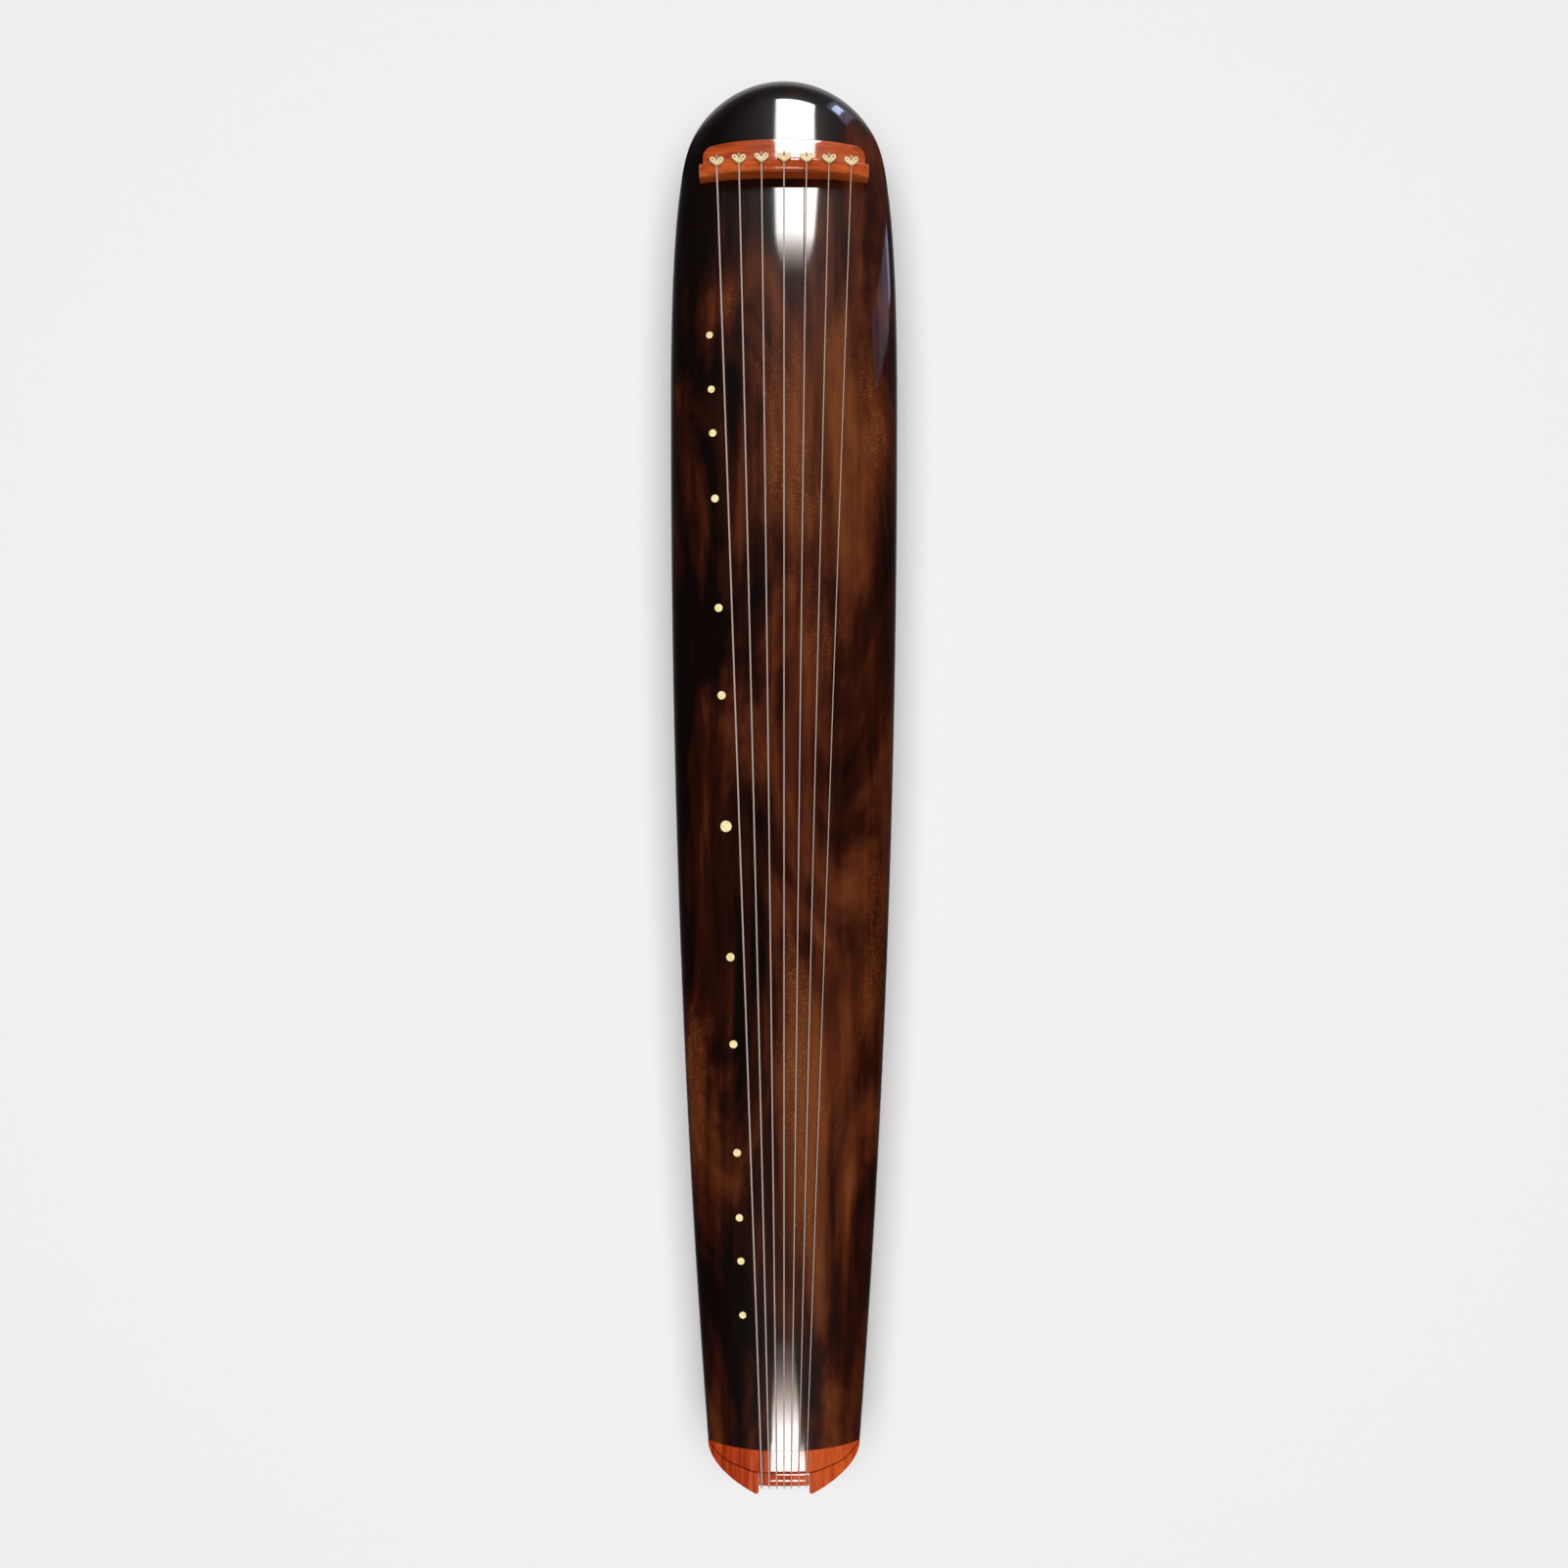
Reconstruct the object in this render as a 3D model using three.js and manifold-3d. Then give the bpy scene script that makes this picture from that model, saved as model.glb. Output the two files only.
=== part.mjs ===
// A guqin, the Chinese seven-string zither, lying on its feet with its playing face up.
// Millimetres. +Z is up, +Y points to the head, and the studs lie on the -X side.
// A place along the body is a station, counted from the tip of the head towards the tail.
// Every height is counted from the surface that the feet stand on.
import * as THREE from 'three'
import { mergeVertices } from 'three/addons/utils/BufferGeometryUtils.js'
import Module from 'manifold-3d'

const wasm = await Module()
wasm.setup()

// Clearances and cuts
const seatGap = 0.3
const overrun = 4
const mergeDistance = 1e-4

// Body outline
const bodyLength = 1225
const headRadius = 88
const headArcAngle = THREE.MathUtils.degToRad(71.5)
const neckHandle = 30
const shoulderShare = 0.22857
const shoulderStation = shoulderShare * bodyLength
const shoulderHandle = 120
const shoulderHalfWidth = 98.7
const tailHalfWidth = 63.1
const taperPower = 2.1

// Feet
const footNeckHeight = 15
const footKnobHeight = 13
const footKnobRadius = 15
const footNeckRadius = 6.5
const footStationShare = 0.7098
const footStation = footStationShare * bodyLength
const footInset = 28.5
const footTenonWidth = 11
const footTenonDepth = 21
const footDimpleRadius = 5
const footDimpleWidth = 2.4
const footDimpleDepth = 1
const footBlockWidth = 36

// Body thickness, from the underside of the back to the playing face
const backHeight = footNeckHeight + footKnobHeight
const backThickness = 10
const backEdgeRadius = 3
const rimThickness = 31
const headRimThickness = 30
const tailRimThickness = 29
const shoulderThickness = 51
const headThickness = 46
const tailThickness = 40
const thicknessPower = 1.3
const crownPower = 2.2
const crownFallPower = 0.7
const browPower = 7
const browTurnPower = 8

// Cavity under the playing face, with its pads and posts
const cavityStartStation = 170
const cavityToTail = 107
const cavityEndStation = bodyLength - cavityToTail
const cavityWall = 17
const faceThickness = 11
const padThickness = 5
const padMargin = 12
const heavenPostRadius = 12
const heavenPostShare = 0.2743
const heavenPostStation = heavenPostShare * bodyLength
const earthPostWidth = 20
const earthPostShare = 0.6057
const earthPostStation = earthPostShare * bodyLength

// Sound holes in the back
const longHoleStationShare = 0.30286
const longHoleStation = longHoleStationShare * bodyLength
const longHoleLengthShare = 0.16041
const longHoleLength = longHoleLengthShare * bodyLength
const longHoleWidth = 29.5
const shortHoleStationShare = 0.75388
const shortHoleStation = shortHoleStationShare * bodyLength
const shortHoleLengthShare = 0.09265
const shortHoleLength = shortHoleLengthShare * bodyLength
const shortHoleWidth = 27

// Trough in the back of the head, and the pegs in it
const troughStation = 66
const troughLength = 27
const troughHalfWidth = 72
const troughDepth = 14
const troughCornerRadius = 9
const pegStation = 79.5
const pegLength = 39
const pegRadius = 8
const pegBoreRadius = 1.9
const pegCupRadius = 4.7
const pegCupDepth = 6.5
const cordHoleRadius = 2.4
const cordRadius = 1.1
const cordJointHeight = 14

// Bridge and tuning plate
const bridgeStation = 82.8
const bridgeThickness = 10.5
const bridgeHalfLength = 72.5
const bridgeHeight = 16
const bridgeEndHeight = 13
const bridgeCrestOffset = 3.5
const bridgeSink = 3
const plateStation = 60
const plateHalfWidth = 70
const plateBow = 3
const plateCornerRadius = 8
const plateRise = 1.8
const plateSink = 1.6
const plateEdgeRadius = 0.6

// Tail: nut, inner plate, crown corners and gum support
const tailJointToEnd = 41
const tailJointStation = bodyLength - tailJointToEnd
const tailJointBow = 4
const tailSeatHeight = 50
const cornerHandle = 17
const hornHalfWidth = 27.5
const hornRoundLength = 1.6
const hornRoundWidth = 3.2
const hornHandle = 16
const nutHalfWidth = 21.6
const nutToEnd = 18
const nutStation = bodyLength - nutToEnd
const nutLength = 11
const nutFootLength = 13.5
const nutRise = 3.4
const nutCrestOffset = 4.5
const nutEdgeDrop = 3
const crownRise = 1.6
const gumRadius = 35
const gumSlotHalfWidth = 16.5
const gumSlotDepth = 2
const gumLipLength = 2.2
const gumNotchDepth = 3.6

// Strings, the thickest first
const stringCount = 7
const thickestStringDiameter = 1.4
const stringDiameterStep = 0.1
const stringPitchAtBridge = 19
const stringPitchAtNut = 6.4
const stringSides = 6
const windingGap = 0.45
const windingMargin = 0.6
const windingSteps = 12
const looseEndLength = 8
const backRunOffsets = [-15.3, -12.8, -10.4, -3.4, 11.1, 13.2, 15.2]
const leftFootStrings = 4
const knotHalfWidth = 5
const knotHalfLength = 2.6
const knotHalfHeight = 1.7

// Studs: the middle one is the largest
const studShares = [1 / 8, 1 / 6, 1 / 5, 1 / 4, 1 / 3, 2 / 5, 1 / 2, 3 / 5, 2 / 3, 3 / 4, 4 / 5, 5 / 6, 7 / 8]
const studOffset = 11.7
const endStudRadius = 3
const innerStudRadius = 3.7
const middleStudRadius = 4.9
const studThickness = 1.6
const studProud = 0.25
const studGap = 0.2

// Tassels
const beadRadius = 6.5
const ringRadius = 8
const ringLength = 7
const skirtRadius = 7.2
const skirtLength = 46
const threadRadius = 1.6
const tasselSides = 10

const lacquer = new THREE.MeshStandardMaterial({ color: 0x2a120a, roughness: 0.16, metalness: 0 })
const bareWood = new THREE.MeshStandardMaterial({ color: 0xd9b072, roughness: 0.7, metalness: 0 })
const rosewood = new THREE.MeshStandardMaterial({ color: 0xb5451b, roughness: 0.3, metalness: 0 })
const darkWood = new THREE.MeshStandardMaterial({ color: 0x6a2018, roughness: 0.35, metalness: 0 })
const shell = new THREE.MeshStandardMaterial({ color: 0xe9dfa6, roughness: 0.3, metalness: 0 })
const stringWire = new THREE.MeshStandardMaterial({ color: 0xb9aca8, roughness: 0.4, metalness: 0 })
const silkCord = new THREE.MeshStandardMaterial({ color: 0xc9b8a6, roughness: 0.7, metalness: 0 })
const silkTassel = new THREE.MeshStandardMaterial({ color: 0xe07a1c, roughness: 0.5, metalness: 0 })

const headTip = bodyLength / 2
const backTop = backHeight + backThickness
const ceiling = backHeight + shoulderThickness + bridgeHeight + overrun

const { lerp } = THREE.MathUtils

// A point from its offset across the body, its station and its height
function at(x, station, z) {
  return new THREE.Vector3(x, headTip - station, z)
}

// Solids

// Merges shared corners, drops flat triangles, and turns the faces outwards
function solidOf(geometry) {
  geometry.deleteAttribute('normal')
  geometry.deleteAttribute('uv')
  const merged = mergeVertices(geometry, mergeDistance)
  const position = merged.getAttribute('position')
  const source = merged.getIndex()
  const corners = []
  let volume = 0
  const [a, b, c] = [new THREE.Vector3(), new THREE.Vector3(), new THREE.Vector3()]
  for (let first = 0; first < source.count; first += 3) {
    const [i, j, k] = [source.getX(first), source.getX(first + 1), source.getX(first + 2)]
    if (i === j || j === k || k === i) continue
    corners.push(i, j, k)
    a.fromBufferAttribute(position, i)
    b.fromBufferAttribute(position, j)
    c.fromBufferAttribute(position, k)
    volume += a.dot(b.cross(c))
  }
  if (volume < 0) corners.reverse()
  return new wasm.Manifold(new wasm.Mesh({
    numProp: 3,
    vertProperties: new Float32Array(position.array),
    triVerts: new Uint32Array(corners)
  }))
}

function geometryOf(solid) {
  const mesh = solid.getMesh()
  const geometry = new THREE.BufferGeometry()
  geometry.setAttribute('position', new THREE.BufferAttribute(new Float32Array(mesh.vertProperties), 3))
  geometry.setIndex(new THREE.BufferAttribute(new Uint32Array(mesh.triVerts), 1))
  geometry.computeVertexNormals()
  return geometry
}

// A closed skin through rings of equally many points; the first and last rings are flat folds
function ringSolid(rings) {
  const count = rings[0].length
  const corners = []
  for (let level = 0; level + 1 < rings.length; level += 1) {
    for (let i = 0; i < count; i += 1) {
      const next = (i + 1) % count
      const [a, b] = [level * count + i, level * count + next]
      const [c, d] = [a + count, b + count]
      corners.push(a, b, d, a, d, c)
    }
  }
  const geometry = new THREE.BufferGeometry()
  geometry.setAttribute('position', new THREE.Float32BufferAttribute(rings.flat().flatMap((p) => p.toArray()), 3))
  geometry.setIndex(corners)
  return solidOf(geometry)
}

// A solid through cross-sections, closed at each end by a fan from the section's middle
function loft(sections) {
  const middleOf = (section) => {
    const middle = new THREE.Vector3()
    section.forEach((point) => middle.add(point))
    return middle.divideScalar(section.length)
  }
  const fold = (section) => section.map(() => middleOf(section))
  return ringSolid([fold(sections[0]), ...sections, fold(sections.at(-1))])
}

// A solid over a plan outline, whose points are [offset, station]
function planSolid(outline, low, high) {
  const shape = new THREE.Shape(outline.map(([x, station]) => new THREE.Vector2(x, headTip - station)))
  return shapeSolid(shape, low, high)
}

function shapeSolid(shape, low, high) {
  const geometry = new THREE.ExtrudeGeometry(shape, { depth: high - low, bevelEnabled: false, curveSegments: 10 })
  geometry.translate(0, 0, low)
  return solidOf(geometry)
}

function boxSolid(x, station, width, length, low, high) {
  const [left, right] = [x - width / 2, x + width / 2]
  const [head, tail] = [station - length / 2, station + length / 2]
  return planSolid([[left, head], [right, head], [right, tail], [left, tail]], low, high)
}

// A long slot with round ends, along the body
function slotShape(station, length, width, margin) {
  const radius = width / 2 + margin
  const reach = (length - width) / 2
  const middle = headTip - station - length / 2
  const shape = new THREE.Shape()
  shape.absarc(0, middle + reach, radius, 0, Math.PI)
  shape.absarc(0, middle - reach, radius, Math.PI, 2 * Math.PI)
  return shape
}

function rodSolid(x, station, radius, low, high, sides) {
  const geometry = new THREE.CylinderGeometry(radius, radius, high - low, sides)
  geometry.rotateX(Math.PI / 2)
  geometry.translate(x, headTip - station, (low + high) / 2)
  return solidOf(geometry)
}

// A turned solid from [radius, height] points, standing on its axis
function turnedSolid(profile, sides) {
  const geometry = new THREE.LatheGeometry(profile.map(([r, z]) => new THREE.Vector2(r, z)), sides)
  geometry.rotateX(Math.PI / 2)
  return solidOf(geometry)
}

// A path that a tube follows exactly from point to point
class Route extends THREE.Curve {
  constructor(points) {
    super()
    this.points = points
  }

  getPoint(t, target = new THREE.Vector3()) {
    const place = t * (this.points.length - 1)
    const index = Math.min(Math.floor(place), this.points.length - 2)
    return target.lerpVectors(this.points[index], this.points[index + 1], place - index)
  }

  getUtoTmapping(u) {
    return u
  }

  getTangent(t, target = new THREE.Vector3()) {
    const last = this.points.length - 1
    const index = Math.round(t * last)
    const before = new THREE.Vector3()
    const after = new THREE.Vector3()
    if (index > 0) before.subVectors(this.points[index], this.points[index - 1]).normalize()
    if (index < last) after.subVectors(this.points[index + 1], this.points[index]).normalize()
    return target.addVectors(before, after).normalize()
  }
}

function tubeSolid(points, radius, sides) {
  const section = new THREE.Shape()
  for (let side = 0; side < sides; side += 1) {
    const angle = 2 * Math.PI * side / sides
    const place = [radius * Math.cos(angle), radius * Math.sin(angle)]
    if (side === 0) section.moveTo(...place)
    else section.lineTo(...place)
  }
  return solidOf(new THREE.ExtrudeGeometry(section, {
    steps: points.length - 1,
    extrudePath: new Route(points),
    bevelEnabled: false
  }))
}

function cutAll(solid, cuts) {
  return cuts.reduce((rest, cut) => rest.subtract(cut), solid)
}

// Shape of the body

const arcEndStation = headRadius * (1 - Math.cos(headArcAngle))
const arcEndHalfWidth = headRadius * Math.sin(headArcAngle)
const arcEndSlope = 1 / Math.tan(headArcAngle)
const neckCurve = new THREE.CubicBezierCurve(
  new THREE.Vector2(arcEndStation, arcEndHalfWidth),
  new THREE.Vector2(arcEndStation + neckHandle, arcEndHalfWidth + neckHandle * arcEndSlope),
  new THREE.Vector2(shoulderStation - shoulderHandle, shoulderHalfWidth),
  new THREE.Vector2(shoulderStation, shoulderHalfWidth)
)

function neckHalfWidthAt(station) {
  const halvings = 24
  let [low, high] = [0, 1]
  for (let step = 0; step < halvings; step += 1) {
    const middle = (low + high) / 2
    if (neckCurve.getPoint(middle).x < station) low = middle
    else high = middle
  }
  return neckCurve.getPoint(low).y
}

function halfWidthAt(station) {
  if (station <= arcEndStation) return Math.sqrt(headRadius ** 2 - (headRadius - station) ** 2)
  if (station < shoulderStation) return neckHalfWidthAt(station)
  const share = (station - shoulderStation) / (bodyLength - shoulderStation)
  return shoulderHalfWidth - (shoulderHalfWidth - tailHalfWidth) * share ** taperPower
}

// A thickness that is full at the shoulder and falls towards the head and the tail
function thicknessAt(station, full, atHead, atTail) {
  if (station < shoulderStation) {
    const share = (shoulderStation - station) / (shoulderStation - headRadius)
    return full - (full - atHead) * share ** 2
  }
  const share = (station - shoulderStation) / (bodyLength - shoulderStation)
  return full - (full - atTail) * share ** thicknessPower
}

// The head fans out from its centre: 0 towards its tip, 1 straight across and all down the body
function fanTurnAt(x, station) {
  if (station >= headRadius) return 1
  return Math.atan2(Math.abs(x), headRadius - station) / (Math.PI / 2)
}

// How far out a point is: 0 on the middle line, 1 on the edge
function edgeShareAt(x, station) {
  if (station >= headRadius) return Math.abs(x) / halfWidthAt(station)
  const angle = Math.atan2(Math.abs(x), headRadius - station)
  const turn = Math.max(angle - headArcAngle, 0) / (Math.PI / 2 - headArcAngle)
  return Math.hypot(x, headRadius - station) / lerp(headRadius, halfWidthAt(headRadius), turn)
}

// Height of the playing face: an arch across, which falls off at the brow round the head's tip
function faceAt(x, station) {
  const along = Math.max(station, headRadius)
  const rim = thicknessAt(along, rimThickness, headRimThickness, tailRimThickness)
  const middle = thicknessAt(along, shoulderThickness, headThickness, tailThickness)
  const arch = (1 - Math.min(Math.abs(x) / halfWidthAt(along), 1) ** crownPower) ** crownFallPower
  const outward = Math.min(edgeShareAt(x, station), 1) ** browPower
  const brow = (1 - outward * (1 - fanTurnAt(x, station) ** browTurnPower)) ** crownFallPower
  return backHeight + rim + (middle - rim) * arch * brow
}

// Half of the plan outline, from the tip of the head to the end of the tail
function halfOutline() {
  const [arcSteps, neckSteps, bodySteps] = [8, 5, 12]
  const points = []
  for (let i = 0; i <= arcSteps; i += 1) {
    const angle = headArcAngle * i / arcSteps
    points.push([headRadius * Math.sin(angle), headRadius * (1 - Math.cos(angle))])
  }
  for (let i = 1; i <= neckSteps; i += 1) {
    const point = neckCurve.getPoint(i / neckSteps)
    points.push([point.y, point.x])
  }
  for (let i = 1; i <= bodySteps; i += 1) {
    const station = lerp(shoulderStation, bodyLength, i / bodySteps)
    points.push([halfWidthAt(station), station])
  }
  return points
}

// A solid over the whole plan; each level is a share of the way out and a height there
function bodySolid(levels) {
  const right = halfOutline()
  const left = right.slice(1).reverse().map(([x, station]) => [-x, station])
  const outline = [...right, ...left]
  return ringSolid(levels.map(({ share, height }) => outline.map(([x, station]) => {
    const place = lerp(Math.max(station, headRadius), station, share)
    return at(x * share, place, height(x * share, place))
  })))
}

// The playing face, raised by a given amount, over a flat floor
function faceSolid(floor, raise) {
  const shares = [1, 0.988, 0.96, 0.91, 0.83, 0.72, 0.59, 0.45, 0.3, 0.15, 0]
  const flat = () => floor
  const face = (x, station) => faceAt(x, station) + raise
  const top = shares.map((share) => ({ share, height: face }))
  return bodySolid([{ share: 0, height: flat }, { share: 1, height: flat }, ...top]).subtract(tailCorners())
}

// The flat back with its rounded lower edge
function backSolid() {
  const inset = 1 - backEdgeRadius / shoulderHalfWidth
  const halfInset = 1 - backEdgeRadius / (4 * shoulderHalfWidth)
  const low = () => backHeight
  const bend = () => backHeight + backEdgeRadius / 4
  const edge = () => backHeight + backEdgeRadius
  const high = () => backTop
  return bodySolid([
    { share: 0, height: low },
    { share: inset, height: low },
    { share: halfInset, height: bend },
    { share: 1, height: edge },
    { share: 1, height: high },
    { share: 0, height: high }
  ]).subtract(tailCorners())
}

// What the two rounded tail corners take off
function tailCorners() {
  const start = new THREE.Vector2(halfWidthAt(tailJointStation), tailJointStation)
  const end = new THREE.Vector2(hornHalfWidth, bodyLength - hornRoundLength)
  const curve = new THREE.CubicBezierCurve(
    start,
    new THREE.Vector2(start.x, start.y + cornerHandle),
    new THREE.Vector2(end.x + hornHandle, end.y - hornHandle / 2),
    end
  )
  const curveSteps = 8
  const outside = shoulderHalfWidth
  const right = [
    ...curve.getPoints(curveSteps).map((point) => [point.x, point.y]),
    [hornHalfWidth - hornRoundWidth, bodyLength],
    [hornHalfWidth - hornRoundWidth, bodyLength + overrun],
    [outside, bodyLength + overrun],
    [outside, tailJointStation]
  ]
  const left = right.map(([x, station]) => [-x, station])
  return planSolid(right, 0, ceiling).add(planSolid(left, 0, ceiling))
}

// Cuts that several pieces share

function trough() {
  const tail = headTip - troughStation - troughLength
  const head = headTip - troughStation
  const round = troughCornerRadius
  const shape = new THREE.Shape()
  shape.moveTo(-troughHalfWidth, tail)
  shape.lineTo(troughHalfWidth, tail)
  shape.absarc(troughHalfWidth - round, head - round, round, 0, Math.PI / 2)
  shape.absarc(-troughHalfWidth + round, head - round, round, Math.PI / 2, Math.PI)
  return shapeSolid(shape, 0, backHeight + troughDepth)
}

function cordHoles() {
  const low = backHeight + troughDepth - overrun
  const holeSides = 8
  return pegOffsets.map((x) => rodSolid(x, pegStation, cordHoleRadius, low, ceiling, holeSides))
}

function footSockets() {
  const width = footTenonWidth + 2 * seatGap
  return footOffsets.map((x) => boxSolid(x, footStation, width, width, 0, backHeight + footTenonDepth + seatGap))
}

const strings = Array.from({ length: stringCount }, (_, index) => index)
const fromMiddle = (index) => index - (stringCount - 1) / 2
const pegOffsets = strings.map((index) => fromMiddle(index) * stringPitchAtBridge)
const nutOffsets = strings.map((index) => fromMiddle(index) * stringPitchAtNut)
const stringRadii = strings.map((index) => (thickestStringDiameter - stringDiameterStep * index) / 2)
const footOffset = halfWidthAt(footStation) - footInset
const footOffsets = [-footOffset, footOffset]

// The joint line where the lacquered face stops and the tail plate begins
function tailJointLine(shift) {
  const acrossShares = [-1, -0.75, -0.5, -0.25, 0, 0.25, 0.5, 0.75, 1]
  const width = halfWidthAt(tailJointStation)
  return acrossShares.map((share) => [share * width, tailJointStation + shift + tailJointBow * (1 - share ** 2)])
}

// The seam between the inner tail plate and a crown corner, from the outside in
function crownSeam(side, shift) {
  const seamShares = [[1, 0.02], [0.81, 0.41], [0.63, 0.64], [0.36, 0.82], [0.12, 0.97], [0, 1]]
  const inner = nutHalfWidth + seatGap
  const outer = halfWidthAt(tailJointStation)
  return seamShares.map(([across, along]) => [
    side * lerp(inner, outer, across),
    lerp(tailJointStation, nutStation, along) + shift
  ])
}

// Lacquered boards

function cavity() {
  const stationCount = 12
  const acrossShares = [1, 0.8, 0.55, 0.28, 0, -0.28, -0.55, -0.8, -1]
  const sections = []
  for (let i = 0; i <= stationCount; i += 1) {
    const station = lerp(cavityStartStation, cavityEndStation, i / stationCount)
    const half = halfWidthAt(station) - cavityWall
    const roof = acrossShares.map((share) => {
      const x = half * share
      return at(x, station, faceAt(x, station) - faceThickness)
    })
    sections.push([at(-half, station, backTop - overrun), at(half, station, backTop - overrun), ...roof])
  }
  return loft(sections)
}

function soundPad(station, length, width) {
  const middle = station + length / 2
  const low = faceAt(0, middle) - faceThickness - padThickness
  return shapeSolid(slotShape(station, length, width, padMargin), low, ceiling)
}

function hollow() {
  const blocks = footOffsets.map((x) => boxSolid(x, footStation, footBlockWidth, footBlockWidth, 0, ceiling))
  return cutAll(cavity(), [
    soundPad(longHoleStation, longHoleLength, longHoleWidth),
    soundPad(shortHoleStation, shortHoleLength, shortHoleWidth),
    ...blocks
  ])
}

function tailSeat() {
  const outside = shoulderHalfWidth
  const end = bodyLength + overrun
  const outline = [[-outside, tailJointStation], ...tailJointLine(0), [outside, tailJointStation],
    [outside, end], [-outside, end]]
  return planSolid(outline, tailSeatHeight, ceiling)
}

function nutPocket() {
  const half = nutHalfWidth + seatGap
  const [head, end] = [nutStation - seatGap, bodyLength + overrun]
  return planSolid([[-half, head], [half, head], [half, end], [-half, end]], 0, ceiling)
}

function topBoard() {
  return cutAll(faceSolid(backTop, 0), [
    hollow(),
    tailSeat(),
    nutPocket(),
    tuningPlateSolid(seatGap),
    bridgeSolid(seatGap),
    trough(),
    ...cordHoles(),
    ...footSockets(),
    ...studs.map(studPocket)
  ])
}

function bottomBoard() {
  return cutAll(backSolid(), [
    trough(),
    shapeSolid(slotShape(longHoleStation, longHoleLength, longHoleWidth, 0), 0, ceiling),
    shapeSolid(slotShape(shortHoleStation, shortHoleLength, shortHoleWidth, 0), 0, ceiling),
    halfRound(gumRadius + seatGap),
    ...footSockets()
  ])
}

// Posts between the back and the roof of the cavity

function postSolid(blank) {
  return blank.intersect(cavity().translate([0, 0, -seatGap]))
}

function heavenPost() {
  const sides = 20
  return postSolid(rodSolid(0, heavenPostStation, heavenPostRadius, backTop, ceiling, sides))
}

function earthPost() {
  return postSolid(boxSolid(0, earthPostStation, earthPostWidth, earthPostWidth, backTop, ceiling))
}

// Tuning plate and bridge at the head

function plateHeadEdgeAt(x, half) {
  const corner = Math.max(Math.abs(x) - (half - plateCornerRadius), 0)
  const round = plateCornerRadius - Math.sqrt(Math.max(plateCornerRadius ** 2 - corner ** 2, 0))
  return plateStation + plateBow * (x / half) ** 2 + round
}

// The plate follows the face; with a clearance it is the pocket that the plate lies in
function tuningPlateSolid(gap) {
  const acrossShares = [-1, -0.985, -0.95, -0.89, -0.75, -0.5, -0.25, 0, 0.25, 0.5, 0.75, 0.89, 0.95, 0.985, 1]
  const half = plateHalfWidth + gap
  const rise = gap > 0 ? plateRise + overrun : plateRise
  return loft(acrossShares.map((share) => {
    const x = share * half
    const head = plateHeadEdgeAt(x, half) - gap
    const tail = bridgeStation - seatGap + 2 * gap
    const middle = (head + tail) / 2
    const low = (station) => at(x, station, faceAt(x, station) - plateSink - gap)
    const high = (station, drop) => at(x, station, faceAt(x, station) + rise - drop)
    return [low(head), low(middle), low(tail), high(tail, 0), high(middle, 0),
      high(head + plateEdgeRadius, 0), high(head, plateEdgeRadius)]
  }))
}

function tuningPlate() {
  return cutAll(tuningPlateSolid(0), cordHoles())
}

function bridgeTopAt(x) {
  const rise = lerp(bridgeHeight, bridgeEndHeight, (x / bridgeHalfLength) ** 2)
  return faceAt(x, bridgeStation + bridgeThickness / 2) + rise
}

// Cross-section of the bridge: how far across its thickness, and how far below its crest
const bridgeSectionShares = [[0, 0.16], [0.1, 0.03], [0.33, 0], [0.7, 0.05], [0.92, 0.15], [1, 0.3]]

// With a clearance it is the slot that the bridge stands in
function bridgeSolid(gap) {
  const acrossShares = [-1, -0.985, -0.8, -0.6, -0.4, -0.2, 0, 0.2, 0.4, 0.6, 0.8, 0.985, 1]
  const endDrop = bridgeSink / 2
  return loft(acrossShares.map((share) => {
    const x = share * (bridgeHalfLength + gap)
    const end = Math.abs(share) === 1 ? endDrop : 0
    const foot = faceAt(x, bridgeStation + bridgeThickness / 2) - bridgeSink - gap
    const top = bridgeSectionShares.map(([across, drop]) => at(
      x,
      lerp(bridgeStation - gap, bridgeStation + bridgeThickness + gap, across),
      bridgeTopAt(x) - drop * bridgeHeight - end
    ))
    return [at(x, bridgeStation + bridgeThickness + gap, foot), at(x, bridgeStation - gap, foot), ...top]
  }))
}

// Tail pieces

const nutCrestStation = nutStation + nutCrestOffset
const nutTopAt = (x) => faceAt(x, nutCrestStation) + nutRise

function nutBlock() {
  const acrossShares = [-1, -0.5, 0, 0.5, 1]
  const front = nutStation + nutLength
  return loft(acrossShares.map((share) => {
    const x = share * nutHalfWidth
    const top = nutTopAt(x)
    return [
      at(x, nutStation, backTop),
      at(x, nutStation, top - nutEdgeDrop / 2),
      at(x, lerp(nutStation, nutCrestStation, 0.3), top - nutEdgeDrop / 8),
      at(x, nutCrestStation, top),
      at(x, lerp(nutCrestStation, front, 0.6), top - nutEdgeDrop / 8),
      at(x, lerp(nutCrestStation, front, 0.9), top - nutEdgeDrop / 2),
      at(x, front, top - nutEdgeDrop),
      at(x, nutStation + nutFootLength, backTop)
    ]
  }))
}

function tailPlate() {
  const inner = [...crownSeam(1, -seatGap), ...crownSeam(-1, -seatGap).reverse()]
  const bridgeToNut = [[nutHalfWidth, nutStation + seatGap], [-nutHalfWidth, nutStation + seatGap]]
  const half = inner.length / 2
  const outline = [...tailJointLine(seatGap), ...inner.slice(1, half), ...bridgeToNut, ...inner.slice(half, -1)]
  return planSolid(outline, tailSeatHeight, ceiling).intersect(faceSolid(tailSeatHeight, 0))
}

function tailNut() {
  const grooves = strings.map((index) => tubeSolid(stringOverNut(index), stringRadii[index] + seatGap, stringSides))
  return cutAll(nutBlock().add(tailPlate()), grooves)
}

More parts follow.
